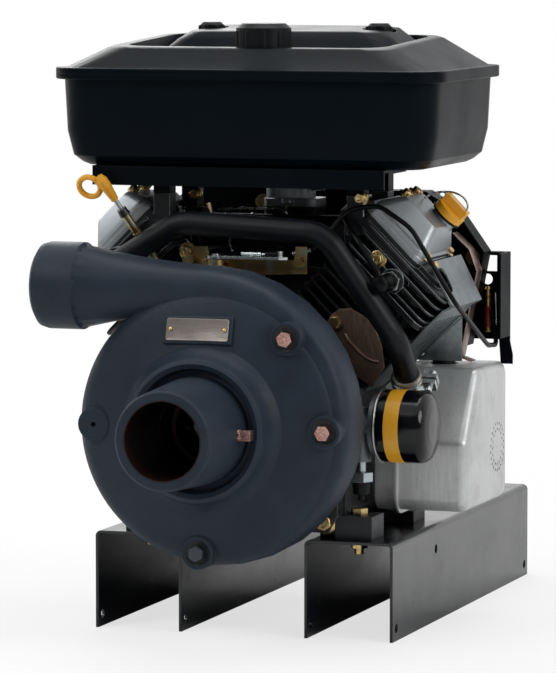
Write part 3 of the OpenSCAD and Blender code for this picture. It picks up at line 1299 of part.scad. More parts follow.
rail_left();
rail_right();
foot_bolts();
pump_volute();
pump_bracket();
pump_bolts();
suction_plug();
impeller();
impeller_nut();
seal_seat();
seal_head();
crankcase();
rear_cover();
main_bearings();
crankshaft();
crank_gear();
camshaft();
cam_gear();
piston_left();
piston_right();
cylinder_left();
cylinder_right();
head_left();
head_right();
valve_cover_left();
valve_cover_right();
spark_plugs();
intake_manifold();
carburetor();
choke_lever();
control_bracket();
throttle_lever();
tank_support();
fuel_tank_lower();
fuel_tank_upper();
fuel_cap();
air_cleaner_base();
air_filter();
air_cleaner_cover();
knob_left();
knob_right();
crossover_pipe();
exhaust_stub();
muffler();
pipe_clamp();
oil_filter();
filter_adapter();
oil_switch();
dipstick_tube();
dipstick();
oil_cap();
flywheel();
blower_housing();
debris_screen();
cylinder_shroud();
heat_baffle();
switch_bracket();
throttle_cable();
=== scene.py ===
"""Finishes, fittings and studio of a small gasoline engine with a close-coupled pump."""

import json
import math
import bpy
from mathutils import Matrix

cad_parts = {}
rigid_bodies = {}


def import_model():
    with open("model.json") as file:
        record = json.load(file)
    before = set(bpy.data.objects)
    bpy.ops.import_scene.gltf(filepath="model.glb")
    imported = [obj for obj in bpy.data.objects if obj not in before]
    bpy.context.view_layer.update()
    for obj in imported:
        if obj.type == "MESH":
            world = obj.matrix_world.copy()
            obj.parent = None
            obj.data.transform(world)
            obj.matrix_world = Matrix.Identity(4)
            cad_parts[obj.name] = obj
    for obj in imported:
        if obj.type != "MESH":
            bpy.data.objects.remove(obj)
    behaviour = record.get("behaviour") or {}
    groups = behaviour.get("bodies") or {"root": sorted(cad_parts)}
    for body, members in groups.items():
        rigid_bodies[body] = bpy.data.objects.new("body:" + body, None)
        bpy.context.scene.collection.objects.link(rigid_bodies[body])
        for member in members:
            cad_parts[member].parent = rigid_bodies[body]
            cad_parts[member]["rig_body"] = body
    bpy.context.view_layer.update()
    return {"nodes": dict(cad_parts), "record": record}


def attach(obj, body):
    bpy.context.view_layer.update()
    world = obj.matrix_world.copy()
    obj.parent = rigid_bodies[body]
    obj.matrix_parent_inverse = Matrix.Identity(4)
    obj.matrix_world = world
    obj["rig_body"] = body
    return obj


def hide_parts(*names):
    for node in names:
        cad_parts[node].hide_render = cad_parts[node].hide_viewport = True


bl_info = {
    "name": "Engine and pump set",
    "version": (1, 0, 0),
    "blender": (4, 5, 0),
    "location": "View3D > Sidebar > Engine set",
    "description": "Finishes, small fittings and studio of a V-twin gasoline engine with a pump",
    "category": "Object",
}

import bmesh
import bpy
from bpy.props import FloatProperty, FloatVectorProperty, PointerProperty
from mathutils import Matrix, Vector

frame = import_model()
NODES = frame["nodes"]
SLOT_OF = {part["node"]: part["material_slot"] for part in frame["record"]["subparts"]}
# Materials by key, and the key that each CAD node wears: its slot's, or another one
FINISH = {}
WEARS = SLOT_OF | {
    "tank_support": "flat_black", "blower_housing": "flat_black", "switch_bracket": "flat_black",
    # The crankcase wears a casting darkened all over as painted shade
    "oil_switch": "switch", "crankcase": "oily_casting", "head_left": "head_casting",
    "head_right": "head_casting", "dipstick": "dipstick",
}
# CAD nodes shown as they are: flat plates, bolts and hidden parts; all others get smooth copies
PLAIN = (
    "rail_left", "rail_right", "foot_bolts", "pump_bolts", "seal_seat", "seal_head", "rear_cover",
    "main_bearings", "crankshaft", "crank_gear", "camshaft", "cam_gear", "piston_left", "piston_right",
    "choke_lever", "throttle_lever", "tank_support", "air_cleaner_base", "air_filter", "switch_bracket",
    "throttle_cable",
)

# In millimetres: height of the crankshaft, the frame's origin behind the rails' front, the pump's bolt ring
AXIS_Z = 227.5
MID_Y = 135.5
BOLT_RING = 127
# Where the left and the right cylinder stand along the shaft
BANK_Y = {-1: 90.0, 1: 113.0}
FRONT, BACK, UP, RIGHT = Vector((0, -1, 0)), Vector((0, 1, 0)), Vector((0, 0, 1)), Vector((1, 0, 0))
# Corners nearer than this in metres are one
WELD = 1e-6

# Sockets and kind of a mix of two colours
MIX_A, MIX_B = 6, 7
COLOURS = {"out": 2, "data_type": "RGBA"}
WHITE = (1, 1, 1, 1)

# Camera found from the photograph: place in metres, turn and rise in degrees, focal length in its pixels
CAMERA_AT = (1.5196, -4.5059, 0.7452)
CAMERA_TURN, CAMERA_RISE = 18.72, 5.38
FOCAL_PIXELS, PHOTO_PIXELS = 4530, 673
SENSOR_MM = 36


# Places and colours


def linear(code):
    """Linear colour with alpha from an sRGB hex code."""
    parts = [int(code[i : i + 2], 16) / 255 for i in (1, 3, 5)]
    return [c / 12.92 if c <= 0.04045 else ((c + 0.055) / 1.055) ** 2.4 for c in parts] + [1.0]


def at(x, y, z):
    """Point in metres from millimetres, with y counted from the front of the rails."""
    return Vector((x, y - MID_Y, z)) / 1000


def spots(*points):
    """Points in metres from points in millimetres."""
    return [at(*point) for point in points]


def on_bank(side, u, y, v):
    """Point on a cylinder bank: u out and down, y along the shaft, v along the cylinder."""
    half = math.sqrt(0.5)
    return at(side * (v + u) * half, BANK_Y[side] + y, AXIS_Z + (v - u) * half)


def bank_way(side):
    """Direction of a cylinder bank's axis."""
    return Vector((side, 0, 1)).normalized()


def casing_bolt(angle, y):
    """Point on the ring of the pump's casing bolts, at an angle in degrees."""
    turn = math.radians(angle)
    return at(BOLT_RING * math.cos(turn), y, AXIS_Z + BOLT_RING * math.sin(turn))


# Shaping helpers


def begin(operator, **sizes):
    """Adds a primitive with nothing else selected and returns its object."""
    bpy.ops.object.select_all(action="DESELECT")
    operator(**sizes)
    return bpy.context.object


def focus(*objs):
    """Selects pieces alone and makes the first active."""
    bpy.ops.object.select_all(action="DESELECT")
    for obj in objs:
        obj.select_set(True)
    bpy.context.view_layer.objects.active = objs[0]


def pick(obj, test=lambda part: True, kind="faces"):
    """Opens a piece for shaping with the faces, edges or corners that pass the test selected."""
    bpy.context.view_layer.objects.active = obj
    bpy.ops.object.mode_set(mode="EDIT")
    bpy.ops.mesh.select_mode(type={"faces": "FACE", "edges": "EDGE", "verts": "VERT"}[kind])
    bpy.ops.mesh.select_all(action="DESELECT")
    mesh = bmesh.from_edit_mesh(obj.data)
    for part in getattr(mesh, kind):
        part.select_set(bool(test(part)))
    mesh.select_flush_mode()
    bmesh.update_edit_mesh(obj.data)


def close(obj):
    """Leaves edit mode with doubles merged and faces pointing out."""
    bpy.context.view_layer.objects.active = obj
    bpy.ops.object.mode_set(mode="EDIT")
    bpy.ops.mesh.select_all(action="SELECT")
    bpy.ops.mesh.remove_doubles(threshold=WELD)
    bpy.ops.mesh.normals_make_consistent(inside=False)
    bpy.ops.object.mode_set(mode="OBJECT")


def fuse(*objs):
    """Joins objects into the first one."""
    focus(*objs)
    bpy.ops.object.join()
    return objs[0]


def modify(obj, kind, **settings):
    """Adds a modifier and applies it."""
    bpy.context.view_layer.objects.active = obj
    modifier = obj.modifiers.new(kind.title(), kind)
    for key, value in settings.items():
        setattr(modifier, key, value)
    bpy.ops.object.modifier_apply(modifier=modifier.name)


def ease(obj, width, angle, segments=2):
    """Rounds the edges that turn by more than an angle in degrees."""
    limit = math.radians(angle)
    modify(obj, "BEVEL", width=width, segments=segments, limit_method="ANGLE", angle_limit=limit)


def settle(obj, name, slot, body="engine", finish=None, angle=35):
    """Bakes a piece's place into its mesh, shades it, gives it its finish and puts it on a body."""
    focus(obj)
    bpy.ops.object.transform_apply(location=True, rotation=True, scale=True)
    bpy.ops.object.shade_smooth_by_angle(angle=math.radians(angle))
    obj.name = obj.data.name = name
    obj.data.materials.clear()
    obj.data.materials.append(FINISH[finish or slot])
    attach(obj, body)
    return obj


def stand(obj, where, way, turn=0.0, size=1.0):
    """Stands a piece at a point with its Z along a direction, turned about it by degrees and resized."""
    upright = Vector(way).to_track_quat("Z", "Y").to_matrix().to_4x4()
    spin = Matrix.Rotation(math.radians(turn), 4, "Z") @ Matrix.Scale(size, 4)
    obj.matrix_world = Matrix.Translation(where) @ upright @ spin
    return obj


def copy_to(master, where, way, turn=0.0, size=1.0):
    """Copies a master with its own mesh and stands the copy at a point."""
    obj = master.copy()
    obj.data = master.data.copy()
    bpy.context.scene.collection.objects.link(obj)
    return stand(obj, where, way, turn, size)


def drop(obj):
    """Removes a master once its copies are made."""
    bpy.data.objects.remove(obj)


def round_curve(thick, facets):
    """Starts a round solid curve."""
    obj = begin(bpy.ops.curve.primitive_bezier_curve_add)
    obj.data.dimensions = "3D"
    obj.data.bevel_depth = thick / 2
    obj.data.bevel_resolution = facets
    obj.data.use_fill_caps = True
    return obj


def as_mesh(obj):
    """Makes a curve a mesh."""
    bpy.ops.object.convert(target="MESH")
    close(obj)
    return obj


def bend_wire(points, thick, rounding=6):
    """Bends a round wire smoothly through points."""
    obj = round_curve(thick, 3)
    obj.data.resolution_u = rounding
    spline = obj.data.splines[0]
    spline.bezier_points.add(len(points) - 2)
    for knot, point in zip(spline.bezier_points, points):
        knot.co = point
        knot.handle_left_type = knot.handle_right_type = "AUTO"
    return as_mesh(obj)


def tube(route, thick):
    """Sweeps a round tube along a route."""
    obj = round_curve(thick, 4)
    obj.data.splines.clear()
    spline = obj.data.splines.new("POLY")
    spline.points.add(len(route) - 1)
    for knot, point in zip(spline.points, route):
        knot.co = (*point, 1)
    return as_mesh(obj)


def fold_sheet(points, wide, thick):
    """Folds a strip of sheet from point to point, its width along Y."""
    sheet = begin(bpy.ops.mesh.primitive_plane_add, size=wide)
    pick(sheet, lambda v: v.co.x > 0, "verts")
    bpy.ops.mesh.delete(type="VERT")
    pick(sheet, kind="verts")
    bpy.ops.transform.translate(value=points[0] + Vector((wide / 2, 0, 0)))
    for a, b in zip(points, points[1:]):
        bpy.ops.mesh.extrude_region_move(TRANSFORM_OT_translate={"value": b - a})
    close(sheet)
    modify(sheet, "SOLIDIFY", thickness=thick, offset=0)
    ease(sheet, thick * 0.3, 25)
    return sheet


def turned(profile, vertices=24):
    """Turns a stepped round piece along Z from pairs of height and radius in millimetres."""
    (low, wide), *steps = [(high / 1000, radius / 1000) for high, radius in profile]
    obj = begin(
        bpy.ops.mesh.primitive_circle_add, vertices=vertices, radius=wide, fill_type="NGON",
        location=(0, 0, low),
    )
    bpy.ops.object.transform_apply(location=True)
    pick(obj)
    for high, radius in steps:
        bpy.ops.mesh.extrude_region_move(TRANSFORM_OT_translate={"value": (0, 0, high - low)})
        bpy.ops.transform.resize(value=(radius / wide, radius / wide, 1))
        low, wide = high, radius
    close(obj)
    return obj


def arc_route(points, radii, steps=6):
    """Route of straight runs joined by an arc at each corner."""
    route = [points[0]]
    for a, b, c, r in zip(points, points[1:], points[2:], radii):
        u, w = (a - b).normalized(), (c - b).normalized()
        turn = u.angle(w)
        start = b + u * r / math.tan(turn / 2)
        centre = b + (u + w).normalized() * r / math.sin(turn / 2)
        for i in range(steps + 1):
            t = (math.pi - turn) * i / steps
            route.append(centre + (start - centre) * math.cos(t) - u * r * math.sin(t))
    return route + [points[-1]]


# Materials


def add(tree, kind, sockets=None, out=0, **settings):
    """Adds a shader node and returns one of its outputs.

    A socket takes a value or another node's output. Sockets 1 to 4 of a map range are the range
    that it reads and the range that it gives.
    """
    node = tree.nodes.new("ShaderNode" + kind)
    for key, value in settings.items():
        setattr(node, key, value)
    for key, value in (sockets or {}).items():
        if isinstance(value, bpy.types.NodeSocket):
            tree.links.new(value, node.inputs[key])
        else:
            node.inputs[key].default_value = value
    return node.outputs[out] if node.outputs else None


def own_mm(tree):
    """The piece's own coordinates in millimetres."""
    place = add(tree, "TexCoord", out="Object")
    return add(tree, "VectorMath", {0: place, "Scale": 1000.0}, operation="SCALE")


def shade(tree, values):
    """Sets values of a tree's shader and returns the piece's own coordinates in millimetres."""
    for socket, value in values.items():
        tree.nodes["Principled BSDF"].inputs[socket].default_value = value
    return own_mm(tree)


def rounded_edges(tree, radius):
    """Normal that rounds sharp edges by a radius in metres, and a mask that is 1 on them."""
    bevel = add(tree, "Bevel", {"Radius": radius}, samples=4)
    flat = add(tree, "NewGeometry", out="Normal")
    same = add(tree, "VectorMath", {0: bevel, 1: flat}, "Value", operation="DOT_PRODUCT")
    return bevel, add(tree, "MapRange", {0: same, 1: 0.995, 2: 0.86})


def skin(tree, tone, sheen, height, normal, strength, relief):
    """Gives a material its tone, a roughness that follows a pattern and a fine relief in metres.

    Sheen is the pattern, its value at the roughest, and the least and the greatest roughness.
    """
    pattern, top, least, most = sheen
    rough = add(tree, "MapRange", {0: pattern, 1: 0.3, 2: top, 3: least, 4: most})
    bump = add(tree, "Bump", {"Height": height, "Normal": normal, "Strength": strength, "Distance": relief})
    shader = tree.nodes["Principled BSDF"]
    for socket, source in (("Base Color", tone), ("Roughness", rough), ("Normal", bump)):
        tree.links.new(source, shader.inputs[socket])


def cast(tree, tones, metallic, roughness, grain, relief, wear=0.4, level=0.5):
    """Cast metal: cloudy over a hand's width, pitted by the mould's grain, lighter on its edges.

    Grain and relief are in millimetres.
    """
    low, high, worn = tones
    mm = shade(tree, {"Metallic": metallic, "Specular IOR Level": level})
    normal, edge = rounded_edges(tree, 0.0014)
    cloud = add(tree, "TexNoise", {"Vector": mm, "Scale": 1 / 45, "Detail": 5, "Roughness": 0.6})
    grit = add(tree, "TexNoise", {"Vector": mm, "Scale": 1 / grain, "Detail": 3})
    base = add(tree, "Mix", {0: cloud, MIX_A: low, MIX_B: high}, **COLOURS)
    rub = add(tree, "Math", {0: edge, 1: cloud}, operation="MULTIPLY")
    amount = add(tree, "Math", {0: rub, 1: 2 * wear}, operation="MULTIPLY", use_clamp=True)
    tone = add(tree, "Mix", {0: amount, MIX_A: base, MIX_B: worn}, **COLOURS)
    skin(tree, tone, (grit, 0.7, roughness - 0.07, roughness + 0.07), grit, normal, 0.7, relief / 1000)


def enamel(tree, tones, roughness, peel, level=0.5):
    """Paint on steel or aluminium: smooth, with a faint orange peel, dulled by dust in patches.

    Peel is the width of the skin's waves in millimetres.
    """
    colour, dust = tones
    mm = shade(tree, {"Specular IOR Level": level})
    normal, edge = rounded_edges(tree, 0.001)
    patch = add(tree, "TexNoise", {"Vector": mm, "Scale": 1 / 70, "Detail": 6, "Roughness": 0.65})
    wave = add(tree, "TexNoise", {"Vector": mm, "Scale": 1 / peel, "Detail": 1})
    film = add(tree, "MapRange", {0: patch, 1: 0.42, 2: 0.75, 3: 0.0, 4: 0.35})
    rim = add(tree, "Math", {0: edge, 1: 0.3}, operation="MULTIPLY")
    both = add(tree, "Math", {0: film, 1: rim}, operation="MAXIMUM")
    tone = add(tree, "Mix", {0: both, MIX_A: colour, MIX_B: dust}, **COLOURS)
    skin(tree, tone, (patch, 0.75, roughness - 0.05, roughness + 0.12), wave, normal, 0.35, 0.00006)


def moulded(tree, tones, roughness, grain, level=0.4, soft=0.0):
    """Moulded plastic or rubber: one even colour, a fine leathery grain and slightly paler edges.

    Grain is in millimetres.
    """
    colour, pale = tones
    depth = (0.002, 0.001, 0.0005)
    mm = shade(tree, {"Specular IOR Level": level, "Subsurface Weight": soft, "Subsurface Radius": depth})
    normal, edge = rounded_edges(tree, 0.0012)
    flow = add(tree, "TexNoise", {"Vector": mm, "Scale": 1 / 90, "Detail": 3})
    leather = add(tree, "TexVoronoi", {"Vector": mm, "Scale": 1 / grain}, feature="SMOOTH_F1")
    streak = add(tree, "MapRange", {0: flow, 1: 0.45, 2: 0.8, 3: 0.0, 4: 0.3})
    lip = add(tree, "Math", {0: edge, 1: 0.35}, operation="MULTIPLY")
    both = add(tree, "Math", {0: streak, 1: lip}, operation="MAXIMUM")
    tone = add(tree, "Mix", {0: both, MIX_A: colour, MIX_B: pale}, **COLOURS)
    skin(tree, tone, (flow, 0.7, roughness - 0.04, roughness + 0.08), leather, normal, 0.25, 0.00008)


def plated(tree, tones, roughness, bloom):
    """Plated steel: a thin film whose tint drifts from one patch to the next.

    Bloom is the size of the tinted patches in millimetres.
    """
    first, second, third = tones
    mm = shade(tree, {"Metallic": 1.0})
    normal = rounded_edges(tree, 0.0006)[0]
    drift = add(tree, "TexNoise", {"Vector": mm, "Scale": 1 / bloom, "Detail": 2})
    spot = add(tree, "TexNoise", {"Vector": mm, "Scale": 2.3 / bloom, "Detail": 4})
    swing = add(tree, "MapRange", {0: drift, 1: 0.35, 2: 0.65})
    touch = add(tree, "MapRange", {0: spot, 1: 0.52, 2: 0.72})
    film = add(tree, "Mix", {0: swing, MIX_A: first, MIX_B: second}, **COLOURS)
    tone = add(tree, "Mix", {0: touch, MIX_A: film, MIX_B: third}, **COLOURS)
    skin(tree, tone, (spot, 0.7, roughness - 0.06, roughness + 0.1), spot, normal, 0.3, 0.00005)


def brushed(tree, tones, roughness, along, metallic=1.0, heat=None):
    """Drawn or brushed sheet: fine streaks one way, dull patches and, near heat, a brown tint.

    Along is the streaks' direction as three stretch factors. Streaks of about 1 mm stand for
    finer real ones, which would not show. Heat is a point and a reach in millimetres and a tint.
    """
    colour, dull, stain = tones
    mm = shade(tree, {"Metallic": metallic})
    normal = rounded_edges(tree, 0.0012)[0]
    lie = add(tree, "Mapping", {"Vector": mm, "Scale": along}, vector_type="POINT")
    streak = add(tree, "TexNoise", {"Vector": lie, "Scale": 1 / 1.1, "Detail": 3})
    patch = add(tree, "TexNoise", {"Vector": mm, "Scale": 1 / 38, "Detail": 6, "Roughness": 0.62})
    fleck = add(tree, "TexNoise", {"Vector": mm, "Scale": 1 / 3.2, "Detail": 2})
    line = add(tree, "MapRange", {0: streak, 1: 0.35, 2: 0.68, 3: 0.0, 4: 0.55})
    base = add(tree, "Mix", {0: line, MIX_A: colour, MIX_B: dull}, **COLOURS)
    soil = add(tree, "MapRange", {0: patch, 1: 0.5, 2: 0.78, 3: 0.0, 4: 0.5})
    speck = add(tree, "MapRange", {0: fleck, 1: 0.66, 2: 0.74, 3: 0.0, 4: 0.4})
    dirt = add(tree, "Math", {0: soil, 1: speck}, operation="MAXIMUM")
    tone = add(tree, "Mix", {0: dirt, MIX_A: base, MIX_B: stain}, **COLOURS)
    if heat:
        centre, reach, code = heat
        away = add(tree, "VectorMath", {0: mm, 1: centre}, "Value", operation="DISTANCE")
        glow = add(tree, "MapRange", {0: away, 1: reach, 2: reach * 0.3, 3: 0.0, 4: 0.75})
        tone = add(tree, "Mix", {0: glow, MIX_A: tone, MIX_B: linear(code)}, **COLOURS)
    skin(tree, tone, (streak, 0.7, roughness - 0.06, roughness + 0.1), streak, normal, 0.3, 0.00004)


def pleated(tree, tones, pitch):
    """Folded filter paper: upright pleats at a pitch in millimetres, fibrous and matt."""
    colour, dark = tones
    mm = shade(tree, {"Roughness": 0.9, "Specular IOR Level": 0.2})
    fold = add(
        tree, "TexWave", {"Vector": mm, "Scale": 1 / (math.pi * pitch), "Distortion": 0.4}, "Fac",
        wave_type="BANDS", bands_direction="DIAGONAL",
    )
    fibre = add(tree, "TexNoise", {"Vector": mm, "Scale": 1 / 0.8, "Detail": 4})
    mixed = add(tree, "Math", {0: fold, 1: fibre}, operation="MULTIPLY")
    tone = add(tree, "Mix", {0: mixed, MIX_A: dark, MIX_B: colour}, **COLOURS)
    bump = add(tree, "Bump", {"Height": fold, "Strength": 0.8, "Distance": 0.0012})
    shader = tree.nodes["Principled BSDF"]
    tree.links.new(tone, shader.inputs["Base Color"])
    tree.links.new(bump, shader.inputs["Normal"])


def make_finishes(kind, rows):
    """Makes the materials of one kind and gives each to the CAD nodes that wear it.

    A row has a key, a name, tones as hex codes or names of settings, and the kind's own values.
    """
    tint = bpy.context.scene.engine_colours
    for key, name, tones, *look in rows:
        mixed = [linear(tone) if tone[0] == "#" else getattr(tint, tone) for tone in tones.split()]
        material = FINISH[key] = bpy.data.materials.new(name)
        material.use_nodes = True
        kind(material.node_tree, mixed, *look)
        for node, worn in WEARS.items():
            if worn == key:
                NODES[node].data.materials.clear()
                NODES[node].data.materials.append(material)


def overlay(key, start, way, radius, code, metallic, roughness):
    """Lays another tone and shine over a finish within a radius of an axis and past its start, in metres."""
    tree = FINISH[key].node_tree
    offset = add(tree, "VectorMath", {0: own_mm(tree), 1: start * 1000}, operation="SUBTRACT")
    along = add(tree, "VectorMath", {0: offset, 1: way}, "Value", operation="DOT_PRODUCT")
    aside = add(tree, "VectorMath", {0: offset, 1: way}, operation="CROSS_PRODUCT")
    away = add(tree, "VectorMath", {0: aside}, "Value", operation="LENGTH")
    edge = radius * 1000
    near = add(tree, "MapRange", {0: away, 1: edge + 0.5, 2: edge - 0.5})
    past = add(tree, "MapRange", {0: along, 1: -0.5, 2: 0.5})
    mask = add(tree, "Math", {0: near, 1: past}, operation="MULTIPLY")
    for name, value in (("Base Color", linear(code)), ("Metallic", metallic), ("Roughness", roughness)):
        socket = tree.nodes["Principled BSDF"].inputs[name]
        under, over, kind = (MIX_A, MIX_B, COLOURS) if name == "Base Color" else (2, 3, {})
        before = socket.links[0].from_socket if socket.links else socket.default_value
        tree.links.new(add(tree, "Mix", {0: mask, under: before, over: value}, **kind), socket)


# Settings


def colour_setting(label, about, code):
    """Colour setting from an sRGB hex code."""
    return FloatVectorProperty(
        name=label, description=about, default=linear(code), subtype="COLOR", size=4, min=0, max=1
    )


def length_setting(label, about, metres):
    """Length setting, up to three times smaller or larger."""
    return FloatProperty(
        name=label, description=about, default=metres, unit="LENGTH", min=metres / 3, max=metres * 3
    )


class EngineColours(bpy.types.PropertyGroup):
    pump: colour_setting("Pump paint", "Paint of the pump casing", "#26313e")
    black: colour_setting("Black paint", "Paint of rails, housing and brackets", "#080e15")
    tank: colour_setting("Tank", "Moulded fuel tank", "#030a10")
    castings: colour_setting("Castings", "Bare cast aluminium", "#85898b")
    covers: colour_setting("Valve covers", "Bare die-cast valve covers", "#9fa4a7")
    muffler: colour_setting("Muffler", "Aluminised steel of the muffler", "#c3c5c5")
    yellow: colour_setting("Yellow", "Oil cap and dipstick", "#dc9a18")
    band: colour_setting("Filter band", "Painted band on the oil filter", "#e0a326")
    floor: colour_setting("Floor", "Studio floor", "#f4f4f2")


class EngineSizes(bpy.types.PropertyGroup):
    bolt: length_setting("Bolt", "Across the corners of a small flange bolt", 0.0115)
    wire: length_setting("Wire", "Thickness of the bent wires", 0.0022)
    lead: length_setting("Plug lead", "Thickness of the ignition leads", 0.0068)
    plate: length_setting("Plate width", "Width of the bare plate on the pump", 0.066)
    band: length_setting("Band width", "Width of the band on the oil filter", 0.016)


# Finishes


# Key, name, low, high and worn tone, then metallic, roughness, grain, relief, wear, level
CASTINGS = (
    # Painted grey iron: slate paint over a sand-cast skin, rubbed paler on the edges
    ("pump_iron", "painted_grey_iron", "#161d26 pump #465361", 0.0, 0.5, 2.2, 0.16, 0.35, 0.2),
    # Wet rusted iron: dark red-brown and dull, inside the suction
    ("impeller_iron", "rusted_iron", "#1c0d08 #4a2214 #6a3a22", 0.2, 0.55, 1.6, 0.2, 0.3),
    # Heat-proof black on cast fins: flat, faintly grey where rubbed
    ("black_fins", "black_painted_aluminium", "#07090b #0f1214 #5c6266", 0.0, 0.5, 1.8, 0.12, 0.35, 0.15),
    # Die-cast aluminium, bare: grey, oily in patches
    ("cast_aluminium", "bare_cast_aluminium", "#5f6365 castings #b5b9bb", 0.85, 0.48, 2.0, 0.12),
    # Die-cast covers: paler and finer
    ("cover_aluminium", "pale_die_cast_aluminium", "#82878a covers #d3d6d7", 0.8, 0.4, 1.4, 0.08, 0.5),
    # Crankcase: the same casting, darkened all over as painted shade of its low, shaded front and feet
    ("oily_casting", "oily_cast_aluminium", "#222426 #3d4042 #7a7d7e", 0.6, 0.46, 2.0, 0.12, 0.4, 0.3),
    # Heads: dark castings whose fin edges are much lighter
    ("head_casting", "grey_finned_aluminium", "#1a1d1f #34383a #a9aeb1", 0.7, 0.45, 1.8, 0.12, 0.9, 0.3),
    # Machined ring round a bolt, dark as painted shade of its recess
    ("oiled_iron", "oiled_machined_iron", "#0d1013 #1a1f25 #38414b", 0.4, 0.4, 1.2, 0.05, 0.3),
)
# Key, name, colour and dust, then roughness, peel, level
PAINTS = (
    # Baked enamel on bent steel: glossy black that mirrors the floor, a little dusty
    ("black_paint", "baked_black_enamel", "black #141c24", 0.2, 3.0),
    # Flat sprayed black on the sheet parts above the rails: hardly any shine
    ("flat_black", "flat_black_enamel", "#03070c #0a1016", 0.42, 2.0, 0.05),
    # Gloss enamel of a spin-on canister: deep black with sharp reflections
    ("filter_paint", "gloss_canister_enamel", "#020408 #070a0e", 0.12, 4.0, 0.3),
    # High-heat paint on tube: flat charcoal
    ("pipe_steel", "flat_heat_paint", "#060a0f #12181e", 0.42, 1.6, 0.2),
    # Gloss printed film in yellow
    ("band_paint", "yellow_band_enamel", "band #c98d1e", 0.28, 4.0),
    # Red enamel on a small metal band
    ("red_enamel", "red_band_enamel", "#7d1f16 #5a1812", 0.3, 4.0, 0.4),
    # Glazed alumina of plugs and seal faces: ivory and glossy
    ("ceramic", "glazed_alumina", "#e6e2d8 #c9c1b0", 0.2, 5.0),
)
# Key, name, colour and paler edge, then roughness, grain, level, softness
PLASTICS = (
    # Moulded polyethylene: deep black, satin, finely grained
    ("tank_plastic", "black_polyethylene", "tank #081219", 0.34, 1.4, 0.05),
    # Moulded nylon of caps and knobs: harder and greyer
    ("black_plastic", "black_nylon", "#080a0d #191d22", 0.4, 1.1, 0.15),
    # Vinyl of a cable's sheath: black with a soft sheen
    ("cable_sheath", "black_vinyl", "#050608 #14181c", 0.3, 0.9, 0.12),
    # Body of the pressure switch: the nylon again
    ("switch", "nylon_and_zinc", "#080a0d #191d22", 0.4, 1.1, 0.15),
    # Moulded nylon in safety yellow, slightly translucent
    ("yellow_plastic", "yellow_nylon", "yellow #e9bb5c", 0.36, 1.2, 0.45, 0.08),
    # Grip of the dipstick: the yellow nylon again
    ("dipstick", "nylon_grip_on_steel", "yellow #e9bb5c", 0.36, 1.2, 0.45, 0.08),
)
# Key, name, three tints, then roughness and bloom
PLATINGS = (
    # Copper-washed steel: pink, bright, blotched
    ("copper_bolts", "copper_washed_steel", "#bf958a #a1766c #dcbfb8", 0.32, 5),
    # Yellow-passivated zinc on bolts: gold with pink and green blooms
    ("zinc_bolts", "yellow_zinc_bolts", "#cdb676 #c09a72 #a7ad86", 0.3, 6),
    # The same film on bent sheet, in larger blooms
    ("zinc_sheet", "yellow_zinc_sheet", "#a98f58 #8f7a56 #93a08a", 0.34, 28),
    # Bright zinc on small levers: silvery with a bluish bloom
    ("lever_steel", "bright_zinc_steel", "#d0d3d2 #b4b9bb #9fb0b2", 0.26, 9),
    # Galvanised sheet: grey, slightly spangled
    ("grey_sheet", "grey_galvanised_sheet", "#7d8386 #6f7578 #8a9093", 0.4, 16),
    # Turned brass, a little dull
    ("brass", "turned_brass", "#b08d4c #8f7038 #c9ad72", 0.3, 8),
)
# Where the muffler is browned: its inlet and a reach in millimetres, and the tint
HEAT = (at(156, 80, 252) * 1000, 60.0, "#8f7d68")
# Key, name, colour, dull and stained tone, then roughness, streaks, metallic, heat
STEELS = (
    # Ground steel: pale, finely mottled
    ("bright_steel", "ground_steel", "#b9bcbe #8f9396 #6e6a64", 0.28, (1, 1, 1)),
    # Aluminised steel: silvery, brushed upright, browned round its inlet, hazed to a matt grey
    ("muffler_steel", "aluminised_steel", "muffler #a9acad #86857f", 0.36, (1, 1, 0.03), 0.55, HEAT),
    # Steel sheet blued and browned by heat
    ("brown_sheet", "heat_browned_steel", "#8a7365 #70594d #4c3a30", 0.42, (0.4, 1, 0.1)),
    # Bare plate: rolled steel, dull brown-grey
    ("plate_steel", "dull_rolled_steel", "#8c8580 #6f6966 #57514d", 0.42, (0.05, 1, 1)),
    # Guide sheet by the exhaust: pinkish all over, a painted highlight for the pink light its edges catch
    ("pink_sheet", "heat_pinked_steel", "#a8928a #836c65 #463733", 0.42, (1, 1, 0.06)),
)
# Pleated paper: buff, in upright folds. Key, name, paper and shade of its folds, then their pitch
PAPERS = (("filter_paper", "pleated_paper", "#c9b98f #8e7d57", 4.0),)
# Bend of the dipstick's tube and the way up the stick
BEND, STICK = at(-119, 22, 406.5), Vector((-29.5, -30, 58.4)).normalized()
# Places where a finish changes: its key, start and direction of an axis, radius round it,
# then tone, metallic and roughness
MARKS = (
    # Inside the ports the pump's paint gives way to wet rust
    ("pump_iron", at(0, -38, AXIS_Z), FRONT, 0.0405, "#1b0e0a", 0.0, 0.42),
    ("pump_iron", at(-120, -82, 364.5), -RIGHT, 0.034, "#1b0e0a", 0.0, 0.42),
    # One casing bolt is painted over with the pump
    ("copper_bolts", casing_bolt(267, -100), FRONT, 0.02, "#2b303b", 0.0, 0.45),
    # The baffle's bolt is yellow zinc, the pressure switch's hexagon and thread are bright zinc
    ("brown_sheet", at(84.7, 46.2, 322.5), FRONT, 0.0075, "#c5ad74", 1.0, 0.3),
    ("switch", at(119, 29, 161.2), UP, 0.02, "#a9b2b6", 1.0, 0.32),
    # Below its grip the dipstick is steel, then its black rubber stopper, then the bare steel blade
    ("dipstick", BEND + STICK * 0.05, -STICK, 0.02, "#b3b6b5", 1.0, 0.38),
    ("dipstick", BEND + STICK * 0.0387, -STICK, 0.02, "#0b0d10", 0.0, 0.38),
    ("dipstick", BEND + STICK * 0.0301, -STICK, 0.02, "#b3b6b5", 1.0, 0.38),
)


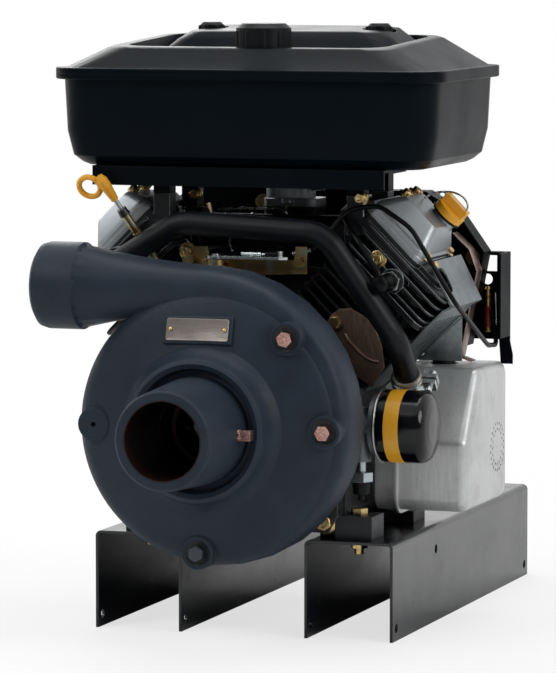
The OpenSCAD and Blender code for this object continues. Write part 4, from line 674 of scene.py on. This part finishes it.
class ENGINE_OT_finishes(bpy.types.Operator):
    """Makes every finish and dresses the parts in it"""

    bl_idname = "engine.finishes"
    bl_label = "Finishes"

    def execute(self, context):
        make_finishes(cast, CASTINGS)
        make_finishes(enamel, PAINTS)
        make_finishes(moulded, PLASTICS)
        make_finishes(plated, PLATINGS)
        make_finishes(brushed, STEELS)
        make_finishes(pleated, PAPERS)
        for mark in MARKS:
            overlay(*mark)
        return {"FINISHED"}


class ENGINE_OT_smooth_shells(bpy.types.Operator):
    """Shows the rounded castings, pipes and mouldings as welded copies with smooth shading"""

    bl_idname = "engine.smooth_shells"
    bl_label = "Smooth shells"

    def execute(self, context):
        for node in [node for node in SLOT_OF if node not in PLAIN]:
            shell = bpy.data.objects.new(node, NODES[node].data.copy())
            context.scene.collection.objects.link(shell)
            focus(shell)
            pick(shell, kind="verts")
            bpy.ops.mesh.remove_doubles(threshold=WELD)
            bpy.ops.object.mode_set(mode="OBJECT")
            # The normals that came with the CAD mesh would keep every facet
            bpy.ops.mesh.customdata_custom_splitnormals_clear()
            settle(shell, f"{node}_shell", SLOT_OF[node], NODES[node]["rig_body"], WEARS[node], angle=32)
            modify(shell, "WEIGHTED_NORMAL", keep_sharp=True)
            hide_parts(node)
        return {"FINISHED"}


# Fittings


def bolt_master(size):
    """Flange bolt head standing on the origin along Z; size is across its corners."""
    head = begin(
        bpy.ops.mesh.primitive_cylinder_add, vertices=6, radius=size / 2, depth=size * 0.5,
        location=(0, 0, size * 0.33),
    )
    pick(head, lambda f: f.normal.z > 0.9)
    bpy.ops.mesh.inset(thickness=size * 0.07, depth=size * 0.05)
    bpy.ops.mesh.inset(thickness=size * 0.14, depth=0)
    bpy.ops.mesh.inset(thickness=size * 0.05, depth=-size * 0.04)
    close(head)
    ease(head, size * 0.03, 40)
    disc = begin(
        bpy.ops.mesh.primitive_cylinder_add, vertices=24, radius=size * 0.72, depth=size * 0.14,
        location=(0, 0, size * 0.07),
    )
    pick(disc, lambda f: f.normal.z > 0.9)
    bpy.ops.mesh.inset(thickness=size * 0.12, depth=size * 0.05)
    close(disc)
    return fuse(head, disc)


def slab(x, y, z):
    """Flat box of three lengths round the origin."""
    obj = begin(bpy.ops.mesh.primitive_cube_add, size=1)
    obj.scale = (x, y, z)
    bpy.ops.object.transform_apply(scale=True)
    return obj


class ENGINE_OT_nameplate(bpy.types.Operator):
    """Sets a bare metal plate with two drive screws on a pad of the pump casing"""

    bl_idname = "engine.nameplate"
    bl_label = "Bare plate"

    def execute(self, context):
        wide = context.scene.engine_sizes.plate
        centre, way = at(-5, -120.2, 326.4), Vector((0, -0.966, 0.259))
        pad = slab(wide + 0.007, 0.029, 0.006)
        pick(pad, lambda f: f.normal.z > 0.9)
        bpy.ops.mesh.inset(thickness=0.0012, depth=0.0008)
        close(pad)
        ease(pad, 0.0012, 30, segments=3)
        settle(stand(pad, centre - way * 0.0016, way), "plate_pad", "pump_iron")
        plate = slab(wide, 0.0225, 0.0009)
        pick(plate, lambda e: abs((e.verts[0].co - e.verts[1].co).z) > 0.0005, "edges")
        bpy.ops.mesh.bevel(offset=0.0022, segments=4)
        pick(plate, lambda f: f.normal.z > 0.9)
        bpy.ops.mesh.inset(thickness=0.0011, depth=-0.00025)
        close(plate)
        settle(stand(plate, centre + way * 0.0025, way), "bare_plate", "brown_sheet", finish="plate_steel")
        screw = begin(bpy.ops.mesh.primitive_uv_sphere_add, segments=16, ring_count=8, radius=0.0021)
        pick(screw, lambda v: v.co.z < -0.0001, "verts")
        bpy.ops.mesh.delete(type="VERT")
        pick(screw, kind="verts")
        bpy.ops.transform.resize(value=(1, 1, 0.6))
        close(screw)
        for i, side in enumerate((-1, 1)):
            place = centre + way * 0.0029 + Vector((side * (wide / 2 - 0.0045), 0, 0))
            settle(copy_to(screw, place, way), f"drive_screw_{i + 1}", "zinc_bolts")
        drop(screw)
        return {"FINISHED"}


class ENGINE_OT_spot_faces(bpy.types.Operator):
    """Machined rings round the pump's casing bolts, dark as painted shade of their recesses"""

    bl_idname = "engine.spot_faces"
    bl_label = "Spot faces"

    def execute(self, context):
        ring = begin(bpy.ops.mesh.primitive_circle_add, vertices=40, radius=0.0128, fill_type="NGON")
        pick(ring)
        bpy.ops.mesh.inset(thickness=0.0012, depth=-0.0007)
        bpy.ops.mesh.inset(thickness=0.0045, depth=0)
        bpy.ops.mesh.delete(type="FACE")
        close(ring)
        modify(ring, "SOLIDIFY", thickness=0.0004, offset=-1)
        for i, angle in enumerate((0, 46.7, 267)):
            # Each ring is a thin dark sheet, painted shade of the recess round a bolt
            face = copy_to(ring, casing_bolt(angle, -121.1), FRONT)
            settle(face, f"spot_face_{i + 1}", "pump_iron", finish="oiled_iron")
        drop(ring)
        return {"FINISHED"}


class ENGINE_OT_bolts(bpy.types.Operator):
    """Small flange bolts on covers, brackets, heads and housing"""

    bl_idname = "engine.bolts"
    bl_label = "Flange bolts"

    def execute(self, context):
        master = bolt_master(context.scene.engine_sizes.bolt)
        # Name, place, direction and size against the master
        places = [
            ("support_bolt_left", at(-97, 125, 446), FRONT, 1.0),
            ("support_bolt_right", at(107, 60, 450), FRONT, 1.0),
            ("bracket_bolt_left", at(-69, 23, 394), FRONT, 1.1),
            ("head_bolt_right", at(128.5, 51, 388), FRONT, 1.15),
            ("drain_plug", at(84, 15, 118), FRONT, 1.5),
            ("shroud_bolt", on_bank(1, 21, -41, 239.6), Vector((0.893, 0, 0.45)), 0.75),
        ]
        for side, hand in ((-1, "left"), (1, "right")):
            way = bank_way(side)
            for k, y in enumerate((-16, 18)):
                places.append((f"cover_bolt_{hand}_{k + 1}", on_bank(side, -56, y, 264), way, 1.0))
            for k, y in enumerate((-40, 40)):
                places.append((f"cover_stud_{hand}_{k + 1}", on_bank(side, 8, y, 240.5), way, 0.85))
            for k, (x, z) in enumerate(((150, 100), (176, 150), (140, 205), (60, 205))):
                places.append((f"housing_bolt_{hand}_{k + 1}", at(side * x, 243, AXIS_Z + z), BACK, 1.0))
        for name, where, way, size in places:
            settle(copy_to(master, where, way, turn=13, size=size), name, "zinc_bolts")
        drop(master)
        return {"FINISHED"}


class ENGINE_OT_filter_band(bpy.types.Operator):
    """Plain painted band and crimped seam on the oil filter"""

    bl_idname = "engine.filter_band"
    bl_label = "Filter band"

    def execute(self, context):
        wide = context.scene.engine_sizes.band
        along = Matrix.Rotation(math.pi / 2, 4, "Y")
        band = begin(
            bpy.ops.mesh.primitive_cylinder_add, vertices=72, radius=0.03772, depth=wide,
            end_fill_type="NOTHING",
        )
        modify(band, "SOLIDIFY", thickness=0.00024, offset=-1)
        close(band)
        band.matrix_world = Matrix.Translation(at(159.5, 35, 219)) @ along
        settle(band, "filter_band", "yellow_plastic", finish="band_paint")
        seam = begin(
            bpy.ops.mesh.primitive_torus_add, major_radius=0.0366, minor_radius=0.0019, major_segments=72,
            minor_segments=10,
        )
        pick(seam, kind="verts")
        bpy.ops.transform.resize(value=(1, 1, 0.7))
        close(seam)
        seam.matrix_world = Matrix.Translation(at(141.2, 35, 219)) @ along
        settle(seam, "filter_seam", "bright_steel")
        return {"FINISHED"}


class ENGINE_OT_cap_wire(bpy.types.Operator):
    """Bent retaining wire from the valve cover to the oil cap"""

    bl_idname = "engine.cap_wire"
    bl_label = "Oil cap wire"

    def execute(self, context):
        thick = context.scene.engine_sizes.wire
        route = spots(
            (156, 128, 447), (164, 134, 452), (173, 137, 453.5), (188, 137, 452), (198, 136, 445.5),
            (200.5, 135, 437.5), (196.5, 134, 431),
        )
        arm = bend_wire(route, thick)
        eye = begin(
            bpy.ops.mesh.primitive_torus_add, major_radius=0.0034, minor_radius=thick * 0.42,
            major_segments=24, minor_segments=8, location=at(173, 136, 450.5), rotation=(math.pi / 2, 0, 0.5),
        )
        hook = bend_wire(spots((172, 136, 447.5), (176, 135, 446), (181, 135, 443)), thick * 0.8)
        settle(fuse(arm, eye, hook), "oil_cap_wire", "bright_steel")
        return {"FINISHED"}


class ENGINE_OT_control_cable(bpy.types.Operator):
    """Sheathed control cable with its two end fittings"""

    bl_idname = "engine.control_cable"
    bl_label = "Control cable"

    def execute(self, context):
        thick = 0.005
        corners = spots(
            (46, 29.5, 393.5), (68, 29.5, 398.5), (100, 44, 440.5), (132, 48, 443.5), (166, 48, 421.5),
            (209, 60, 345.5), (204, 200, 289), (204, 236, 285.5), (192, 251.5, 327.5), (190, 251.5, 345.5),
        )
        route = arc_route(corners, [r / 1000 for r in (20, 30, 22, 40, 24, 60, 14, 24)])
        cable = settle(tube(route, thick), "control_cable_sheath", "cable_sheath")
        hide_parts("throttle_cable")
        for k, (where, inner) in enumerate(((route[0], route[1]), (route[-1], route[-2]))):
            barrel = turned(((-1, 3.4), (15, 3.4), (15.4, 3), (19, 2.7)), 20)
            settle(stand(barrel, where, inner - where), f"cable_end_{k + 1}", "lever_steel")
        return {"FINISHED"}


class ENGINE_OT_baffle_bead(bpy.types.Operator):
    """Pressed bead across the heat baffle"""

    bl_idname = "engine.baffle_bead"
    bl_label = "Baffle bead"

    def execute(self, context):
        face = 46.9
        path = ((95, 311), (98, 305.5), (103.2, 300.2), (112.9, 291), (124, 284.5), (132, 283))
        bead = bend_wire([at(x, face, z) for x, z in path], 0.0042, rounding=10)
        settle(bead, "baffle_bead", "brown_sheet")
        return {"FINISHED"}


class ENGINE_OT_plug_leads(bpy.types.Operator):
    """Rubber boots on the spark plugs and their leads to the ignition"""

    bl_idname = "engine.plug_leads"
    bl_label = "Plug leads"

    def execute(self, context):
        thick = context.scene.engine_sizes.lead
        boot = turned((
            (0, 8.8), (2, 9.7), (12, 9.3), (13.5, 8.2), (27, 7.8), (28.5, 9), (34, 9.2), (37, 7.2), (38, 3.5)
        ))
        right = spots(
            (144, 13, 366), (141, 13, 378), (114, 20, 414), (88, 60, 434), (78, 140, 444), (74, 217, 441)
        )
        left = spots((-144, 190, 366), (-141, 190, 378), (-122, 200, 408), (-100, 217, 432))
        for side, hand, way, corners in ((1, "right", FRONT, right), (-1, "left", BACK, left)):
            seat = at(side * 144.2, BANK_Y[side] - side * 71, 366.1)
            cover = settle(copy_to(boot, seat, way), f"plug_boot_{hand}", "cable_sheath")
            route = arc_route(corners, [0.009] + [0.03] * (len(corners) - 3))
            lead = settle(tube(route, thick), f"plug_lead_{hand}", "cable_sheath")
        drop(boot)
        return {"FINISHED"}


class ENGINE_OT_guide_sheet(bpy.types.Operator):
    """Folded sheets between the right cylinder, the blower housing and the muffler"""

    bl_idname = "engine.guide_sheet"
    bl_label = "Guide sheet"

    def execute(self, context):
        gauge = 0.0014
        tall = ((165.7, 406.5), (184.2, 389.2), (192.8, 366.8), (184.5, 326), (174.6, 276))
        foot = ((160, 274.8), (174, 275.2), (187, 271))
        for name, wide, way in (("guide_sheet", 0.02, tall), ("guide_foot", 0.016, foot)):
            strip = fold_sheet([at(x, 206, z) for x, z in way], wide, gauge)
            # Both strips are tinted pink, a painted highlight for their lit edges
            settle(strip, name, "brown_sheet", finish="pink_sheet")
        # Apron under the shroud's lower plate: a corner of sheet with a flange along the plate
        wide = 0.04
        apron = begin(
            bpy.ops.mesh.primitive_plane_add, size=wide, location=at(164.2, 172, 301.1),
            rotation=(math.pi / 2, 0, 0),
        )
        pick(apron, lambda v: v.co.x < 0 < v.co.y, "verts")
        bpy.ops.transform.translate(value=(0, 0, -wide * 0.99))
        pick(apron, lambda e: sum((v.co for v in e.verts), Vector()).length < wide / 4, "edges")
        bpy.ops.mesh.extrude_region_move(TRANSFORM_OT_translate={"value": (0, -0.012, 0)})
        # Its lower edge reaches down and left behind the muffler
        pick(apron, lambda v: v.co.y < -wide * 0.498, "verts")
        bpy.ops.transform.translate(value=(0, 0, -0.0075))
        pick(apron, lambda v: v.co.x < 0 and v.co.y < -wide / 2, "verts")
        bpy.ops.transform.translate(value=(-0.0095, 0, 0))
        close(apron)
        modify(apron, "SOLIDIFY", thickness=gauge, offset=0)
        ease(apron, 0.0004, 25)
        settle(apron, "shroud_apron", "grey_sheet")
        return {"FINISHED"}


class ENGINE_OT_control_links(bpy.types.Operator):
    """Sleeve and clip on the speed lever, linkage plate and rods by the carburetor"""

    bl_idname = "engine.control_links"
    bl_label = "Control links"

    def execute(self, context):
        sleeve = ((0, 1.2), (0.4, 2.5), (22, 2.5), (22.4, 1.4), (42, 1.4))
        clip = ((0, 2.6), (1, 3.4), (13, 3.4), (14, 2.6))
        for name, slot, x, profile in (
            ("lever_sleeve", "lever_steel", -4, sleeve), ("lever_clip", "black_plastic", 22, clip)
        ):
            settle(stand(turned(profile, 16), at(x, 9, 394), RIGHT), name, slot, "throttle")
        folds = spots((-84, 131, 437), (-80, 131, 424), (0, 131, 424), (6, 131, 437))
        settle(fold_sheet(folds, 0.012, 0.0015), "linkage_plate", "zinc_sheet")
        for name, points, thick in (
            ("choke_rod", ((-70, 124, 431), (-20, 122, 433), (4, 122, 431), (8, 124, 424)), 0.0024),
            ("governor_rod", ((-16, 16, 396), (-22, 24, 406), (-28, 60, 420), (-30, 120, 428)), 0.0022),
        ):
            settle(bend_wire(spots(*points), thick), name, "lever_steel")
        rod = bend_wire(spots((-97, 60, 447), (-88, 60, 433), (-84, 60, 427)), 0.0016)
        ball = turned(((-3, 1), (-2, 2.6), (0, 3.2), (2, 2.6), (3, 1)), 16)
        stand(ball, at(-87.4, 60, 431.8), (0.54, 0, -0.84))
        settle(fuse(rod, ball), "ball_rod", "lever_steel")
        return {"FINISHED"}


class ENGINE_OT_switch_plunger(bpy.types.Operator):
    """Brass plunger at the cable's end on the panel bracket"""

    bl_idname = "engine.switch_plunger"
    bl_label = "Switch plunger"

    def execute(self, context):
        body = turned(((0, 2.8), (1, 3.6), (38, 3.6), (39, 4.6), (46, 4.6), (48, 3)))
        settle(stand(body, at(190.5, 249, 298), UP), "switch_plunger", "zinc_sheet", finish="brass")
        band = turned(((0, 3.9), (22, 3.9)))
        modify(band, "BEVEL", width=0.0003, segments=2)
        settle(stand(band, at(190.5, 249, 303), UP), "plunger_band", "copper_bolts", finish="red_enamel")
        path = spots((199, 247, 341), (199.5, 247, 300), (197, 248, 286), (191, 249, 282), (187, 249, 286))
        settle(bend_wire(path, 0.0022), "plunger_wire", "lever_steel")
        return {"FINISHED"}


class ENGINE_OT_cap_gasket(bpy.types.Operator):
    """Rubber ring under the oil cap"""

    bl_idname = "engine.cap_gasket"
    bl_label = "Oil cap ring"

    def execute(self, context):
        points, way = [v.co for v in NODES["oil_cap"].data.vertices], bank_way(1)
        centre = sum(points, Vector()) / len(points)
        # The cap's head is what lies more than 16 mm from its axis
        head = [p - centre for p in points if (p - centre).cross(way).length > 0.016]
        low = min(p.dot(way) for p in head)
        reach = max(p.cross(way).length for p in head)
        inner, outer = reach * 960, reach * 1020
        ring = turned(((0, inner), (0.6, outer), (2.6, outer), (3.2, inner)), 40)
        settle(stand(ring, centre + way * (low - 0.0026), way), "oil_cap_ring", "black_plastic", "oil_cap")
        return {"FINISHED"}


# Studio


def emptied(block):
    """Gives a material or a world an empty node tree and returns the tree."""
    block.use_nodes = True
    block.node_tree.nodes.clear()
    return block.node_tree


class ENGINE_OT_stage(bpy.types.Operator):
    """Pale floor, soft studio light, white surround and the camera"""

    bl_idname = "engine.stage"
    bl_label = "Studio"

    def execute(self, context):
        scene = context.scene
        scene.view_settings.view_transform = "Standard"
        floor = begin(bpy.ops.mesh.primitive_plane_add, size=14)
        floor.name = "studio_floor"
        # Matt floor that is lit as it is, but white where it is seen or mirrored far from the object
        material = bpy.data.materials.new("matt_pale_floor")
        tree = emptied(material)
        ray = add(tree, "LightPath").node.outputs
        away = add(tree, "VectorMath", {0: add(tree, "TexCoord", out="Object")}, "Value", operation="LENGTH")
        near = add(tree, "MapRange", {0: away, 1: 0.5, 2: 1.5, 3: 0.7, 4: 1.0})
        far = add(tree, "MapRange", {0: away, 1: 0.2, 2: 0.8})
        gloss, clear = ray["Is Glossy Ray"], ray["Is Transmission Ray"]
        mirrored = add(tree, "Math", {0: gloss, 1: clear}, operation="MAXIMUM")
        direct = add(tree, "Math", {0: ray["Is Camera Ray"], 1: near}, operation="MULTIPLY")
        bounced = add(tree, "Math", {0: mirrored, 1: far}, operation="MULTIPLY")
        share = add(tree, "Math", {0: direct, 1: bounced}, operation="MAXIMUM")
        matt = add(tree, "BsdfDiffuse", {"Color": scene.engine_colours.floor})
        white = add(tree, "Emission", {"Color": WHITE, "Strength": 1.0})
        both = add(tree, "MixShader", {0: share, 1: matt, 2: white})
        add(tree, "OutputMaterial", {"Surface": both})
        floor.data.materials.append(material)

        wall = begin(
            bpy.ops.mesh.primitive_cylinder_add, vertices=96, radius=6.9, depth=6, end_fill_type="NOTHING",
            location=(0, 0, 3),
        )
        wall.name = "studio_backdrop"
        # Mirrored in gloss, the surround is white behind the object and dim in front of it
        material = bpy.data.materials.new("white_backdrop")
        tree = emptied(material)
        place = add(tree, "SeparateXYZ", {0: add(tree, "TexCoord", out="Object")}, "Y")
        level = add(tree, "MapRange", {0: place, 1: -3.0, 2: 4.0, 3: 0.15, 4: 1.0})
        glow = add(tree, "Emission", {"Strength": level, "Color": WHITE})
        add(tree, "OutputMaterial", {"Surface": glow})
        wall.data.materials.append(material)
        wall.visible_camera = wall.visible_diffuse = wall.visible_shadow = False

        # White to the eye and in mirrors, and a soft bluish fill as light
        world = scene.world = bpy.data.worlds.new("studio_surround")
        tree = emptied(world)
        ray = add(tree, "LightPath").node.outputs
        seen = ray["Is Camera Ray"]
        for other in ("Is Glossy Ray", "Is Transmission Ray"):
            seen = add(tree, "Math", {0: seen, 1: ray[other]}, operation="MAXIMUM")
        soft = add(tree, "Background", {"Color": (0.95, 0.97, 1, 1), "Strength": 0.3})
        white = add(tree, "Background", {"Color": WHITE, "Strength": 1.0})
        both = add(tree, "MixShader", {0: seen, 1: soft, 2: white})
        add(tree, "OutputWorld", {"Surface": both})

        target = Vector((0, 0, 0.32))
        # Name, place and width in metres, power in watts
        for name, place, wide, power in (
            ("key_softbox", (-1.7, -2.3, 2.3), 1.6, 36),
            ("side_softbox", (2.6, -0.9, 1.5), 1.5, 34),
            ("top_softbox", (0.1, 0.2, 2.7), 2.0, 28),
            ("left_softbox", (-2.5, 0.5, 1.7), 1.2, 15),
            ("rear_softbox", (-1.2, 2.5, 1.8), 1.4, 22),
        ):
            lamp = begin(bpy.ops.object.light_add, type="AREA", location=place)
            lamp.name = name
            lamp.data.shape = "DISK"
            lamp.data.size = wide
            lamp.data.energy = power
            lamp.rotation_euler = (target - Vector(place)).to_track_quat("-Z", "Y").to_euler()

        camera = begin(bpy.ops.object.camera_add, location=CAMERA_AT)
        side, rise = math.radians(CAMERA_TURN), math.radians(CAMERA_RISE)
        back = Vector((math.sin(side) * math.cos(rise), -math.cos(side) * math.cos(rise), math.sin(rise)))
        camera.rotation_euler = (-back).to_track_quat("-Z", "Y").to_euler()
        camera.data.sensor_width = SENSOR_MM
        camera.data.lens = FOCAL_PIXELS * SENSOR_MM / PHOTO_PIXELS
        camera.data.clip_end = 50
        scene.camera = camera
        return {"FINISHED"}


OPERATORS = (
    ENGINE_OT_finishes, ENGINE_OT_smooth_shells, ENGINE_OT_stage, ENGINE_OT_control_cable,
    ENGINE_OT_nameplate, ENGINE_OT_spot_faces, ENGINE_OT_bolts, ENGINE_OT_filter_band, ENGINE_OT_cap_wire,
    ENGINE_OT_baffle_bead, ENGINE_OT_plug_leads, ENGINE_OT_guide_sheet, ENGINE_OT_control_links,
    ENGINE_OT_switch_plunger, ENGINE_OT_cap_gasket,
)


class ENGINE_PT_panel(bpy.types.Panel):
    bl_idname = "ENGINE_PT_panel"
    bl_label = "Engine set"
    bl_space_type = "VIEW_3D"
    bl_region_type = "UI"
    bl_category = "Engine set"

    def draw(self, context):
        for group in (context.scene.engine_colours, context.scene.engine_sizes):
            box = self.layout.box()
            for setting in group.__annotations__:
                box.prop(group, setting)
        for operator in OPERATORS:
            self.layout.operator(operator.bl_idname)


CLASSES = (EngineColours, EngineSizes, *OPERATORS, ENGINE_PT_panel)


def register():
    for kind in CLASSES:
        bpy.utils.register_class(kind)
    bpy.types.Scene.engine_colours = PointerProperty(type=EngineColours)
    bpy.types.Scene.engine_sizes = PointerProperty(type=EngineSizes)


def unregister():
    del bpy.types.Scene.engine_sizes
    del bpy.types.Scene.engine_colours
    for kind in reversed(CLASSES):
        bpy.utils.unregister_class(kind)


def main():
    register()
    for operator in OPERATORS:
        group, call = operator.bl_idname.split(".")
        getattr(getattr(bpy.ops, group), call)()


if __name__ == "__main__":
    main()
